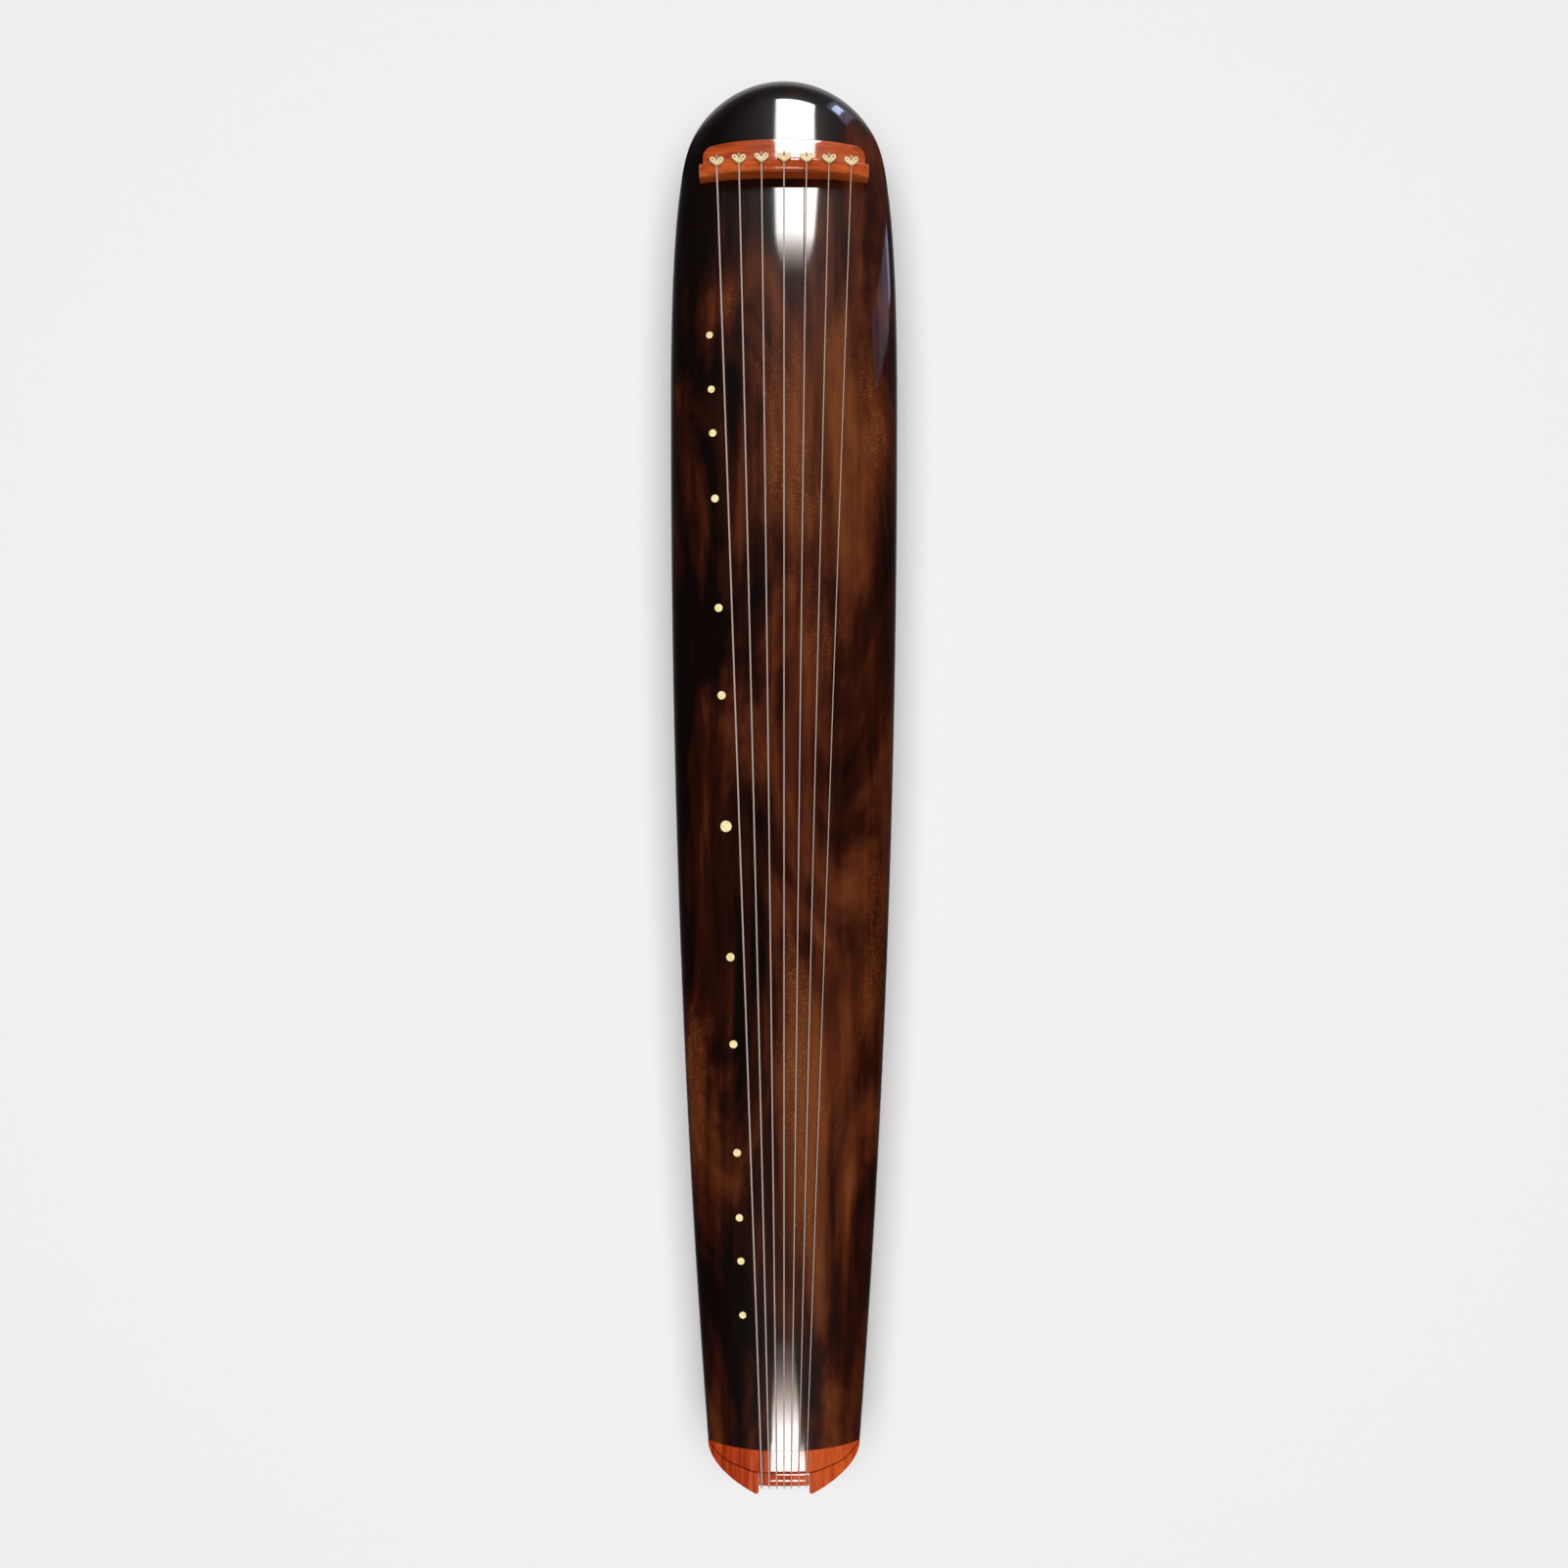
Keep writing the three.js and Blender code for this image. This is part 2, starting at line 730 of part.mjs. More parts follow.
function crownCorner(side) {
  const outside = shoulderHalfWidth
  const end = bodyLength + overrun
  const seam = crownSeam(side, 0)
  const inner = side * (nutHalfWidth + seatGap)
  const outline = [[side * outside, seam[0][1]], ...seam, [inner, end], [side * outside, end]]
  return planSolid(outline, tailSeatHeight, ceiling).intersect(faceSolid(tailSeatHeight, crownRise))
}

// The half round in the back at the tail, centred on the end of the body
function halfRound(radius) {
  const shape = new THREE.Shape()
  const middle = headTip - bodyLength
  shape.moveTo(-radius, middle - overrun)
  shape.lineTo(radius, middle - overrun)
  shape.absarc(0, middle, radius, 0, Math.PI)
  return shapeSolid(shape, 0, ceiling)
}

const gumEndStation = bodyLength - gumNotchDepth

function gumSupport() {
  const slot = (head, tail, high) => planSolid([
    [-gumSlotHalfWidth, head], [gumSlotHalfWidth, head], [gumSlotHalfWidth, tail], [-gumSlotHalfWidth, tail]
  ], 0, high)
  const head = bodyLength - gumRadius - overrun
  return cutAll(backSolid().intersect(halfRound(gumRadius)), [
    slot(gumEndStation, bodyLength + overrun, ceiling),
    slot(head, gumEndStation - gumLipLength, backHeight + gumSlotDepth)
  ])
}

// Feet

function foot() {
  const dimple = [footDimpleRadius - footDimpleWidth / 2, footDimpleRadius + footDimpleWidth / 2]
  const knobShares = [[0.78, 0], [0.93, 0.09], [1, 0.32], [1, 0.56], [0.9, 0.82], [0.66, 0.96]]
  const profile = [
    [0, 0],
    [dimple[0], 0],
    [lerp(dimple[0], dimple[1], 0.3), footDimpleDepth],
    [lerp(dimple[0], dimple[1], 0.7), footDimpleDepth],
    [dimple[1], 0],
    ...knobShares.map(([r, z]) => [r * footKnobRadius, z * footKnobHeight]),
    [footNeckRadius, footKnobHeight],
    [footNeckRadius, backHeight - seatGap],
    [0, backHeight - seatGap]
  ]
  const sides = 20
  const tenon = new THREE.BoxGeometry(footTenonWidth, footTenonWidth, footTenonDepth + seatGap)
  tenon.translate(0, 0, backHeight + (footTenonDepth - seatGap) / 2)
  return turnedSolid(profile, sides).add(solidOf(tenon))
}

// Pegs, hollow for their cord, each with a cup at its free end

const pegFoot = backHeight + troughDepth - seatGap - pegLength

function peg() {
  const outerShares = [[0.7, 0], [0.76, 0.03], [0.7, 0.5], [0.78, 0.8], [0.97, 0.87], [0.98, 0.96], [0.84, 1]]
  const profile = [
    ...outerShares.map(([r, z]) => [r * pegRadius, z * pegLength]),
    [pegBoreRadius, pegLength],
    [pegBoreRadius, pegCupDepth],
    [lerp(pegBoreRadius, pegCupRadius, 0.35), pegCupDepth / 2],
    [pegCupRadius, 0]
  ]
  const sides = 12
  return turnedSolid([...profile, profile[0]], sides)
}

// Silk cords from the knots on the bridge down through the pegs

function pegCord(index) {
  const x = pegOffsets[index]
  const top = bridgeTopAt(x)
  const straight = bridgeStation - pegStation
  const route = [
    at(x, pegStation, cordJointHeight + seatGap),
    at(x, pegStation, faceAt(x, pegStation)),
    at(x, pegStation, lerp(faceAt(x, pegStation), top, 0.7)),
    at(x, lerp(pegStation, bridgeStation, 0.15), top - straight / 4),
    at(x, lerp(pegStation, bridgeStation, 0.42), top + knotHalfHeight),
    at(x, knotStation - knotHalfLength - seatGap, top + knotHalfHeight + seatGap)
  ]
  const sides = 8
  return tubeSolid(route, cordRadius, sides)
}

// Strings

const knotStation = bridgeStation + knotHalfLength
const crestStation = bridgeStation + bridgeCrestOffset

// The stretch over the nut and down the tail to the back
function stringOverNut(index) {
  const radius = stringRadii[index]
  const [x, under] = [nutOffsets[index], backRunOffsets[index]]
  const top = nutTopAt(x) + radius / 2
  const front = nutStation + nutLength
  const out = gumEndStation + radius + seatGap
  const below = backHeight - radius - seatGap
  const corner = gumLipLength
  const lipBend = [0, 1 / 3, 2 / 3, 1].map((share) => {
    const angle = share * Math.PI / 2
    const reach = radius + seatGap
    return at(under, gumEndStation + reach * Math.cos(angle), backHeight - reach * Math.sin(angle))
  })
  return [
    at(x, nutStation, top + stringSlope * nutCrestOffset),
    at(x, nutCrestStation, top),
    at(x, lerp(nutCrestStation, front, 0.6), top - nutEdgeDrop / 8),
    at(x, front, top - nutEdgeDrop / 2),
    at(x, front + corner, top - 2 * nutEdgeDrop),
    at(lerp(x, under, 0.92), out, backTop + corner),
    ...lipBend,
    at(under, out - 2 * corner, below)
  ]
}

const stringSlope = (bridgeTopAt(0) - nutTopAt(0)) / (nutCrestStation - crestStation)

// The turns of one foot's strings lie between each other and fill the foot's neck
function windingOf(index) {
  const onLeft = index < leftFootStrings
  const group = strings.filter((other) => (other < leftFootStrings) === onLeft)
  const pitches = group.map((other) => 2 * stringRadii[other] + windingGap)
  const lead = pitches.reduce((sum, pitch) => sum + pitch, 0)
  const above = pitches.slice(0, group.indexOf(index)).reduce((sum, pitch) => sum + pitch, 0)
  const room = footNeckHeight - 2 * windingMargin - lead
  return {
    x: onLeft ? -footOffset : footOffset,
    turn: onLeft ? 1 : -1,
    lead,
    turns: room / lead,
    height: backHeight - seatGap - windingMargin - above - stringRadii[index],
    radius: (footNeckRadius + stringRadii[index] + seatGap) / Math.cos(Math.PI / windingSteps)
  }
}

function windingRoute(index, from) {
  const { x, turn, lead, turns, height, radius } = windingOf(index)
  const centre = at(x, footStation, height)
  const away = Math.hypot(centre.x - from.x, centre.y - from.y)
  const heading = Math.atan2(centre.y - from.y, centre.x - from.x) - turn * Math.asin(radius / away)
  const start = heading - turn * Math.PI / 2
  const steps = Math.round(turns * windingSteps)
  const route = []
  for (let step = 0; step <= steps; step += 1) {
    const share = step / steps
    const angle = start + turn * share * turns * 2 * Math.PI
    route.push(new THREE.Vector3(
      centre.x + radius * Math.cos(angle),
      centre.y + radius * Math.sin(angle),
      height - share * turns * lead
    ))
  }
  const out = start + turn * (turns * 2 * Math.PI + Math.PI / 2)
  const last = route.at(-1)
  route.push(new THREE.Vector3(
    last.x + looseEndLength * Math.cos(out),
    last.y + looseEndLength * Math.sin(out),
    last.z
  ))
  return route
}

function stringRoute(index) {
  const x = pegOffsets[index]
  const radius = stringRadii[index]
  const top = bridgeTopAt(x) + radius + seatGap
  const overNut = stringOverNut(index)
  return [
    at(x, knotStation, top + radius),
    at(x, crestStation, top),
    at(x, crestStation + bridgeCrestOffset, top - stringSlope * bridgeCrestOffset),
    ...overNut,
    ...windingRoute(index, overNut.at(-1))
  ]
}

function stringSolid(index) {
  const x = pegOffsets[index]
  const knotRings = 4
  const knot = new THREE.SphereGeometry(1, 2 * knotRings, knotRings)
  knot.scale(knotHalfWidth, knotHalfLength, knotHalfHeight)
  const middle = at(x, knotStation, bridgeTopAt(x) + knotHalfHeight + seatGap)
  knot.translate(...middle.toArray())
  return tubeSolid(stringRoute(index), stringRadii[index], stringSides).add(solidOf(knot))
}

// The least gap between the windings of neighbouring strings, measured on their points
function leastWindingGap() {
  const gaps = strings.slice(1).flatMap((index) => {
    const pair = [index - 1, index]
    if (windingOf(pair[0]).x !== windingOf(pair[1]).x) return []
    const [one, other] = pair.map((each) => windingRoute(each, stringOverNut(each).at(-1)))
    const distances = one.flatMap((a) => other.map((b) => a.distanceTo(b)))
    return [Math.min(...distances) - stringRadii[pair[0]] - stringRadii[pair[1]]]
  })
  return Math.min(...gaps)
}

// Studs along the first string

const middleStud = (studShares.length - 1) / 2

const studs = studShares.map((share, index) => {
  const station = lerp(crestStation, nutCrestStation, share)
  const fromCentre = Math.abs(index - middleStud) / middleStud
  const radius = index === middleStud ? middleStudRadius : lerp(innerStudRadius, endStudRadius, fromCentre)
  return { x: lerp(pegOffsets[0], nutOffsets[0], share) - studOffset, station, radius }
})

// Where a stud sits, with its axis square to the face
function studFrame({ x, station, radius }) {
  const slopeX = (faceAt(x + radius, station) - faceAt(x - radius, station)) / (2 * radius)
  const slopeY = (faceAt(x, station - radius) - faceAt(x, station + radius)) / (2 * radius)
  const normal = new THREE.Vector3(-slopeX, -slopeY, 1).normalize()
  const turn = new THREE.Quaternion().setFromUnitVectors(new THREE.Vector3(0, 0, 1), normal)
  return new THREE.Matrix4().compose(at(x, station, faceAt(x, station)), turn, new THREE.Vector3(1, 1, 1))
}

function discSolid(radius, low, high) {
  const sides = 12
  const geometry = new THREE.CylinderGeometry(radius, radius, high - low, sides)
  geometry.rotateX(Math.PI / 2)
  geometry.translate(0, 0, (low + high) / 2)
  return solidOf(geometry)
}

function studPocket(stud) {
  const cut = discSolid(stud.radius + studGap, studProud - studThickness - seatGap, overrun)
  return cut.transform(studFrame(stud).elements)
}

// Tassels: bead, ring and silk skirt on one line, lying on the surface

// Each cord's route from inside its peg: out from the middle, towards the head, up
const outerRoute = [
  [0, 0, 13.7], [0, 0, 9.4], [0, -0.3, 6.6], [0, -1.3, 4.1], [0, -3, 2.2], [0.2, -5.2, 1.3], [1.4, -7.9, 1.2],
  [4.3, -9.8, 1.2], [7.6, -9.2, 1.2], [9.8, -6.5, 1.2], [10.2, -3, 1.3], [9.1, 0, 2], [7.4, 2.5, 3.5],
  [5.7, 4.6, 5.3], [4.6, 6.4, 6.9], [4.1, 7.9, 7.8], [4, 9.2, 8], [4, 10.4, 8]
]
const middleRoute = [
  [0, 0, 13.7], [0, 0, 9.4], [0, 0.3, 6.6], [0, 1.3, 4.1], [0, 3, 2.2], [0.2, 5.2, 1.3], [0.9, 7.5, 1.3],
  [2, 9.7, 1.8], [3.3, 11.6, 3.1], [4.5, 13.4, 4.9], [5.4, 15.1, 6.5], [5.9, 16.7, 7.6], [6, 18.1, 8],
  [6, 19.3, 8]
]
const innerRoute = [
  [0, 0, 13.7], [0, 0, 9.4], [0, 0.3, 6.6], [0, 1.3, 4.1], [0, 3, 2.2], [0.1, 5.2, 1.3], [0.5, 8, 1.2],
  [1.4, 10.7, 1.3], [2.6, 13.1, 2.2], [3.8, 15.2, 3.7], [4.8, 17.2, 5.5], [5.4, 19.1, 7.1], [5.6, 20.8, 7.9],
  [5.6, 22, 8], [5.6, 23.2, 8]
]
const tasselRoutes = [outerRoute, middleRoute, innerRoute, innerRoute, innerRoute, middleRoute, outerRoute]
const tasselSide = (index) => (index < leftFootStrings - 1 ? -1 : 1)

function tasselCordRoute(index) {
  const side = tasselSide(index)
  return tasselRoutes[index].map(([out, ahead, z]) => at(pegOffsets[index] + side * out, pegStation - ahead, z))
}

function tasselCord(index) {
  const sides = 8
  return tubeSolid(tasselCordRoute(index), cordRadius, sides)
}

function tassel() {
  const beadShares = [[0.5, 0.134], [0.87, 0.5], [1, 1], [0.87, 1.5]]
  const ringShares = [[0.72, 0], [0.95, 0.15], [1, 0.5], [0.95, 0.85], [0.72, 1]]
  const skirtShares = [[0.8, 0], [1, 0.06], [1.04, 1]]
  const ringStart = 2 * beadRadius
  const skirtStart = ringStart + ringLength
  const profile = [
    [0, 0],
    [threadRadius, 0],
    ...beadShares.map(([r, along]) => [r * beadRadius, along * beadRadius]),
    ...ringShares.map(([r, along]) => [r * ringRadius, ringStart + along * ringLength]),
    ...skirtShares.map(([r, along]) => [r * skirtRadius, skirtStart + along * skirtLength]),
    [0, skirtStart + skirtLength]
  ]
  const solid = turnedSolid(profile, tasselSides)
  const flat = new THREE.Matrix4().makeRotationX(-Math.PI / 2)
  return solid.transform(flat.elements)
}

// Assembly

const guqin = new THREE.Group()

function addPiece(group, name, solid, material) {
  const mesh = new THREE.Mesh(geometryOf(solid), material)
  mesh.name = name
  group.add(mesh)
  return mesh
}

const body = new THREE.Group()
addPiece(body, 'top_board', topBoard(), lacquer)
addPiece(body, 'bottom_board', bottomBoard(), lacquer)
addPiece(body, 'heaven_post', heavenPost(), bareWood)
addPiece(body, 'earth_post', earthPost(), bareWood)
addPiece(body, 'tuning_plate', tuningPlate(), rosewood)
addPiece(body, 'bridge', bridgeSolid(0), rosewood)
addPiece(body, 'tail_nut', tailNut(), rosewood)
addPiece(body, 'crown_left', crownCorner(-1), rosewood)
addPiece(body, 'crown_right', crownCorner(1), rosewood)
addPiece(body, 'gum_support', gumSupport(), rosewood)
guqin.add(body)

const feet = new THREE.Group()
feet.position.y = headTip - footStation
const footSolid = foot()
addPiece(feet, 'goose_foot_left', footSolid, darkWood).position.x = -footOffset
addPiece(feet, 'goose_foot_right', footSolid, darkWood).position.x = footOffset
guqin.add(feet)

const tuning = new THREE.Group()
tuning.position.copy(at(0, pegStation, pegFoot))
const pegSolid = peg()
strings.forEach((index) => {
  addPiece(tuning, `peg_${index + 1}`, pegSolid, darkWood).position.x = pegOffsets[index]
})
guqin.add(tuning)

const stringing = new THREE.Group()
strings.forEach((index) => {
  addPiece(stringing, `peg_cord_${index + 1}`, pegCord(index), silkCord)
  addPiece(stringing, `string_${index + 1}`, stringSolid(index), stringWire)
})
guqin.add(stringing)

const inlay = new THREE.Group()
studs.forEach((stud, index) => {
  const disc = discSolid(stud.radius, studProud - studThickness, studProud)
  addPiece(inlay, `hui_${index + 1}`, disc, shell).applyMatrix4(studFrame(stud))
})
guqin.add(inlay)

const tassels = new THREE.Group()
const tasselSolid = tassel()
strings.forEach((index) => {
  addPiece(tassels, `tassel_cord_${index + 1}`, tasselCord(index), silkCord)
  const end = tasselCordRoute(index).at(-1)
  const mesh = addPiece(tassels, `tassel_${index + 1}`, tasselSolid, silkTassel)
  mesh.position.set(end.x, end.y + seatGap, ringRadius)
})
guqin.add(tassels)

console.log(`least gap between windings ${leastWindingGap().toFixed(2)} mm`)

export default guqin
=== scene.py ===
# The looks of a guqin, the Chinese seven-string zither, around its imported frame.
# Sizes and places are in millimetres until a mesh or curve is made, which is in metres.
# +Z is up and +Y points to the head; a station is a distance from the tip of the head.
import math

import bmesh
import bpy
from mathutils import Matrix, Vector


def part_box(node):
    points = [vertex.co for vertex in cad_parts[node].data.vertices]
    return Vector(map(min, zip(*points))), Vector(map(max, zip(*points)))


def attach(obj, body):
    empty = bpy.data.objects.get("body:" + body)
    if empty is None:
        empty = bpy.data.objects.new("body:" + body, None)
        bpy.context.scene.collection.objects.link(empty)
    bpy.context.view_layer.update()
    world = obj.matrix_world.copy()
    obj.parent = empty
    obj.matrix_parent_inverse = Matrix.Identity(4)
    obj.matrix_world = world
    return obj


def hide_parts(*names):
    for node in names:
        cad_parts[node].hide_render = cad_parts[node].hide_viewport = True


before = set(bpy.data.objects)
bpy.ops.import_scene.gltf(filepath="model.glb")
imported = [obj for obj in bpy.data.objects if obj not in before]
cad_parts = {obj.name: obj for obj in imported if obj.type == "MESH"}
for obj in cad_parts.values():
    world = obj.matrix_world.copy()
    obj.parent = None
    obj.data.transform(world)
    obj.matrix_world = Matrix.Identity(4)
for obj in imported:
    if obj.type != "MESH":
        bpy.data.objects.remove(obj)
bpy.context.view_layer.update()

MM = 0.001


# Driving sizes, the same as the frame's


def size_of(node):
    """A node's lowest and highest corner, in millimetres"""
    low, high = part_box(node)
    return Vector(low) / MM, Vector(high) / MM


TOP_LOW, TOP_HIGH = size_of("top_board")
BACK_LOW, BACK_HIGH = size_of("bottom_board")
BODY_LENGTH = TOP_HIGH.y - TOP_LOW.y
HEAD_TIP = TOP_HIGH.y
BACK_HEIGHT = BACK_LOW.z
BACK_TOP = BACK_HIGH.z
SHOULDER_HALF_WIDTH = BACK_HIGH.x
HEAD_RADIUS = 88
HEAD_ARC_ANGLE = math.radians(71.5)
NECK_HANDLE = 30
SHOULDER_STATION = 0.22857 * BODY_LENGTH
SHOULDER_HANDLE = 120
TAIL_HALF_WIDTH = 63.1
TAPER_POWER = 2.1
BACK_EDGE_RADIUS = 3
RIM_THICKNESS = 31
HEAD_RIM_THICKNESS = 30
TAIL_RIM_THICKNESS = 29
SHOULDER_THICKNESS = 51
HEAD_THICKNESS = 46
TAIL_THICKNESS = 40
THICKNESS_POWER = 1.3
CROWN_POWER = 2.2
CROWN_FALL_POWER = 0.7
BROW_POWER = 7
BROW_TURN_POWER = 8
SEAT_GAP = 0.3
OVERRUN = 4
CEILING = BACK_HEIGHT + SHOULDER_THICKNESS + 20


def at(x, station, z):
    """A point from its offset across the body, its station and its height"""
    return Vector((x, HEAD_TIP - station, z))


def lerp(a, b, share):
    return a + (b - a) * share


def spread(start, end, steps):
    """Values in equal steps, with both ends"""
    return [lerp(start, end, i / steps) for i in range(steps + 1)]


def polar(reach, angle):
    return reach * math.cos(angle), reach * math.sin(angle)


def add_object(name, data):
    made = bpy.data.objects.new(name, data)
    bpy.context.scene.collection.objects.link(made)
    return made


# Camera: straight above the face, at the height of a person who photographs it on a table

CAMERA_HEIGHT = 1008
CAMERA_LENS = 25.0


def add_camera():
    data = bpy.data.cameras.new("camera")
    data.lens = CAMERA_LENS
    data.sensor_width = 36
    data.clip_end = 20
    camera = add_object("camera", data)
    camera.location = (0, 0, CAMERA_HEIGHT * MM)
    bpy.context.scene.camera = camera


# Mesh making


def mesh_piece(name, points, faces, smooth_angle=38):
    """An object from points in millimetres and faces, with edges sharper than the angle kept sharp"""
    mesh = bpy.data.meshes.new(name)
    mesh.from_pydata([tuple(Vector(point) * MM) for point in points], [], faces)
    piece = add_object(name, mesh)
    tidy_mesh(piece, smooth_angle)
    return piece


def tidy_mesh(piece, smooth_angle):
    """Merges shared corners, turns the faces outwards and shades them"""
    work = bmesh.new()
    work.from_mesh(piece.data)
    bmesh.ops.remove_doubles(work, verts=work.verts, dist=1e-3 * MM)
    bmesh.ops.dissolve_degenerate(work, edges=work.edges, dist=1e-3 * MM)
    bmesh.ops.recalc_face_normals(work, faces=work.faces)
    work.to_mesh(piece.data)
    work.free()
    piece.data.shade_smooth()
    piece.data.set_sharp_from_angle(angle=math.radians(smooth_angle))


def band(here, there, count):
    """The faces between two rings of count points, from the numbers of their first points"""
    turns = [(i, (i + 1) % count) for i in range(count)]
    return [(here + i, here + next_i, there + next_i, there + i) for i, next_i in turns]


def ring_piece(name, rings, smooth_angle=38, closed_path=False):
    """A closed skin through rings of equally many points, closed at each end by one face"""
    count, levels = len(rings[0]), len(rings)
    faces = []
    for level in range(levels if closed_path else levels - 1):
        faces += band(level * count, (level + 1) % levels * count, count)
    if not closed_path:
        faces += [tuple(range(count)), tuple((levels - 1) * count + i for i in range(count))]
    return mesh_piece(name, [p for ring in rings for p in ring], faces, smooth_angle)


def plan_piece(name, outline, low, high):
    """A block over a plan outline of (offset, station) places"""
    return ring_piece(name, [[at(x, station, z) for x, station in outline] for z in (low, high)])


def turned_rings(profile, sides, place, shape=None):
    """Rings about a line, by place(offset, offset, way along it); shape may change a radius by its angle"""
    rings = []
    for radius, along in profile:
        ring = []
        for angle in spread(0, 2 * math.pi, sides)[:-1]:
            reach = shape(radius, along, angle) if shape else radius
            ring.append(place(*polar(reach, angle), along))
        rings.append(ring)
    return rings


def upright(centre):
    """The place of turned points about an upright line"""
    return lambda a, b, along: centre + Vector((a, b, along))


def cut(piece, cutters, keep_common=False):
    """Takes the cutters out of a piece, or keeps what they share, and removes the cutters"""
    for cutter in cutters:
        modifier = piece.modifiers.new("cut", "BOOLEAN")
        modifier.solver = "MANIFOLD"
        modifier.operation = "INTERSECT" if keep_common else "DIFFERENCE"
        modifier.object = cutter
        graph = bpy.context.evaluated_depsgraph_get()
        mesh = bpy.data.meshes.new_from_object(piece.evaluated_get(graph), depsgraph=graph)
        piece.modifiers.clear()
        piece.data = mesh
        bpy.data.objects.remove(cutter)
    piece.data.name = piece.name
    tidy_mesh(piece, 38)
    return piece


def join_pieces(name, pieces):
    """One object with the meshes of several"""
    mesh = bpy.data.meshes.new(name)
    work = bmesh.new()
    for piece in pieces:
        work.from_mesh(piece.data)
    work.to_mesh(mesh)
    work.free()
    for piece in pieces:
        bpy.data.objects.remove(piece)
    return add_object(name, mesh)


def dress(piece, material, slot, node=None, body="root"):
    """Gives a piece its material and puts it on its body, instead of the node that it stands for; the slot argument is
    not used
    """
    piece.data.materials.clear()  # a cut leaves an empty one
    piece.data.materials.append(material)
    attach(piece, body)
    if node:
        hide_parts(node)


# Routes, tubes and cords


def smooth_route(points, step):
    """Places about a step apart on a smooth curve through the points"""
    padded = [points[0] * 2 - points[1], *points, points[-1] * 2 - points[-2]]
    route = []
    for before, start, end, after in zip(padded, padded[1:], padded[2:], padded[3:]):
        steps = max(round((end - start).length / step), 1)
        for i in range(steps):
            t = i / steps
            route.append(0.5 * (
                2 * start + (end - before) * t + (2 * before - 5 * start + 4 * end - after) * t**2
                + (3 * start - before - 3 * end + after) * t**3
            ))
    return [*route, points[-1].copy()]


def flat_route(places, step, scale=(1, 1)):
    """A smooth curve through scaled flat places"""
    across, along = scale
    corners = [Vector((a * across, b * along, 0)) for a, b in places]
    return [(place.x, place.y) for place in smooth_route(corners, step)]


def frames_along(route):
    """A steady pair of directions square to the route at each of its points"""
    last = len(route) - 1
    tangents = [(route[min(i + 1, last)] - route[max(i - 1, 0)]).normalized() for i in range(last + 1)]
    across = tangents[0].orthogonal().normalized()
    pairs = []
    for tangent in tangents:
        across = (across - tangent * across.dot(tangent)).normalized()
        pairs.append((across.copy(), tangent.cross(across)))
    return pairs


def tube_rings(route, radius, sides):
    """Round rings about a route"""
    angles = spread(0, 2 * math.pi, sides)[:-1]
    return [
        [point + radius * (math.cos(angle) * u + math.sin(angle) * v) for angle in angles]
        for point, (u, v) in zip(route, frames_along(route))
    ]


def travelled_along(route):
    """The length of a route up to each of its points"""
    lengths = [0.0]
    for a, b in zip(route, route[1:]):
        lengths.append(lengths[-1] + (b - a).length)
    return lengths


CORD_RADIUS = 1.1
CORD_PITCH = 7
CORD_PLIES = 2
CORD_PLY_RADIUS = 0.54 * CORD_RADIUS


def twisted_cord(name, route):
    """A cord of plies that wind round each other along a route"""
    reach = CORD_RADIUS - CORD_PLY_RADIUS
    strands = []
    for ply in range(CORD_PLIES):
        line = []
        for point, (u, v), done in zip(route, frames_along(route), travelled_along(route)):
            across, up = polar(reach, 2 * math.pi * (done / CORD_PITCH + ply / CORD_PLIES))
            line.append(point + across * u + up * v)
        strands.append(ring_piece(f"{name}_{ply}", tube_rings(line, CORD_PLY_RADIUS, 8), 60))
    return join_pieces(name, strands)


# Nodes


class Nodes:
    """Short calls that add nodes to a tree, each of which returns one output"""

    def __init__(self, tree):
        self.tree = tree

    def join(self, socket, value):
        """Links what another node gives to a socket, or sets a constant on it"""
        if isinstance(value, bpy.types.NodeSocket):
            self.tree.links.new(value, socket)
        elif socket.type == "RGBA" and len(value) == 3:
            socket.default_value = (*value, 1)
        else:
            socket.default_value = value

    def node(self, kind, inputs, output=0, **settings):
        made = self.tree.nodes.new(f"ShaderNode{kind}")
        for name, value in settings.items():
            setattr(made, name, value)
        for name, value in inputs.items():
            self.join(made.inputs[name], value)
        return made.outputs[output]

    def ramp(self, share, stops):
        """Colours or greys at shares of the way"""
        made = self.tree.nodes.new("ShaderNodeValToRGB")
        self.tree.links.new(share, made.inputs["Fac"])
        elements = made.color_ramp.elements
        while len(elements) < len(stops):
            elements.new(0.5)
        for element, (where, colour) in zip(elements, stops):
            element.position = where
            element.color = (*colour, 1) if isinstance(colour, tuple) else (colour, colour, colour, 1)
        return made.outputs["Color"]


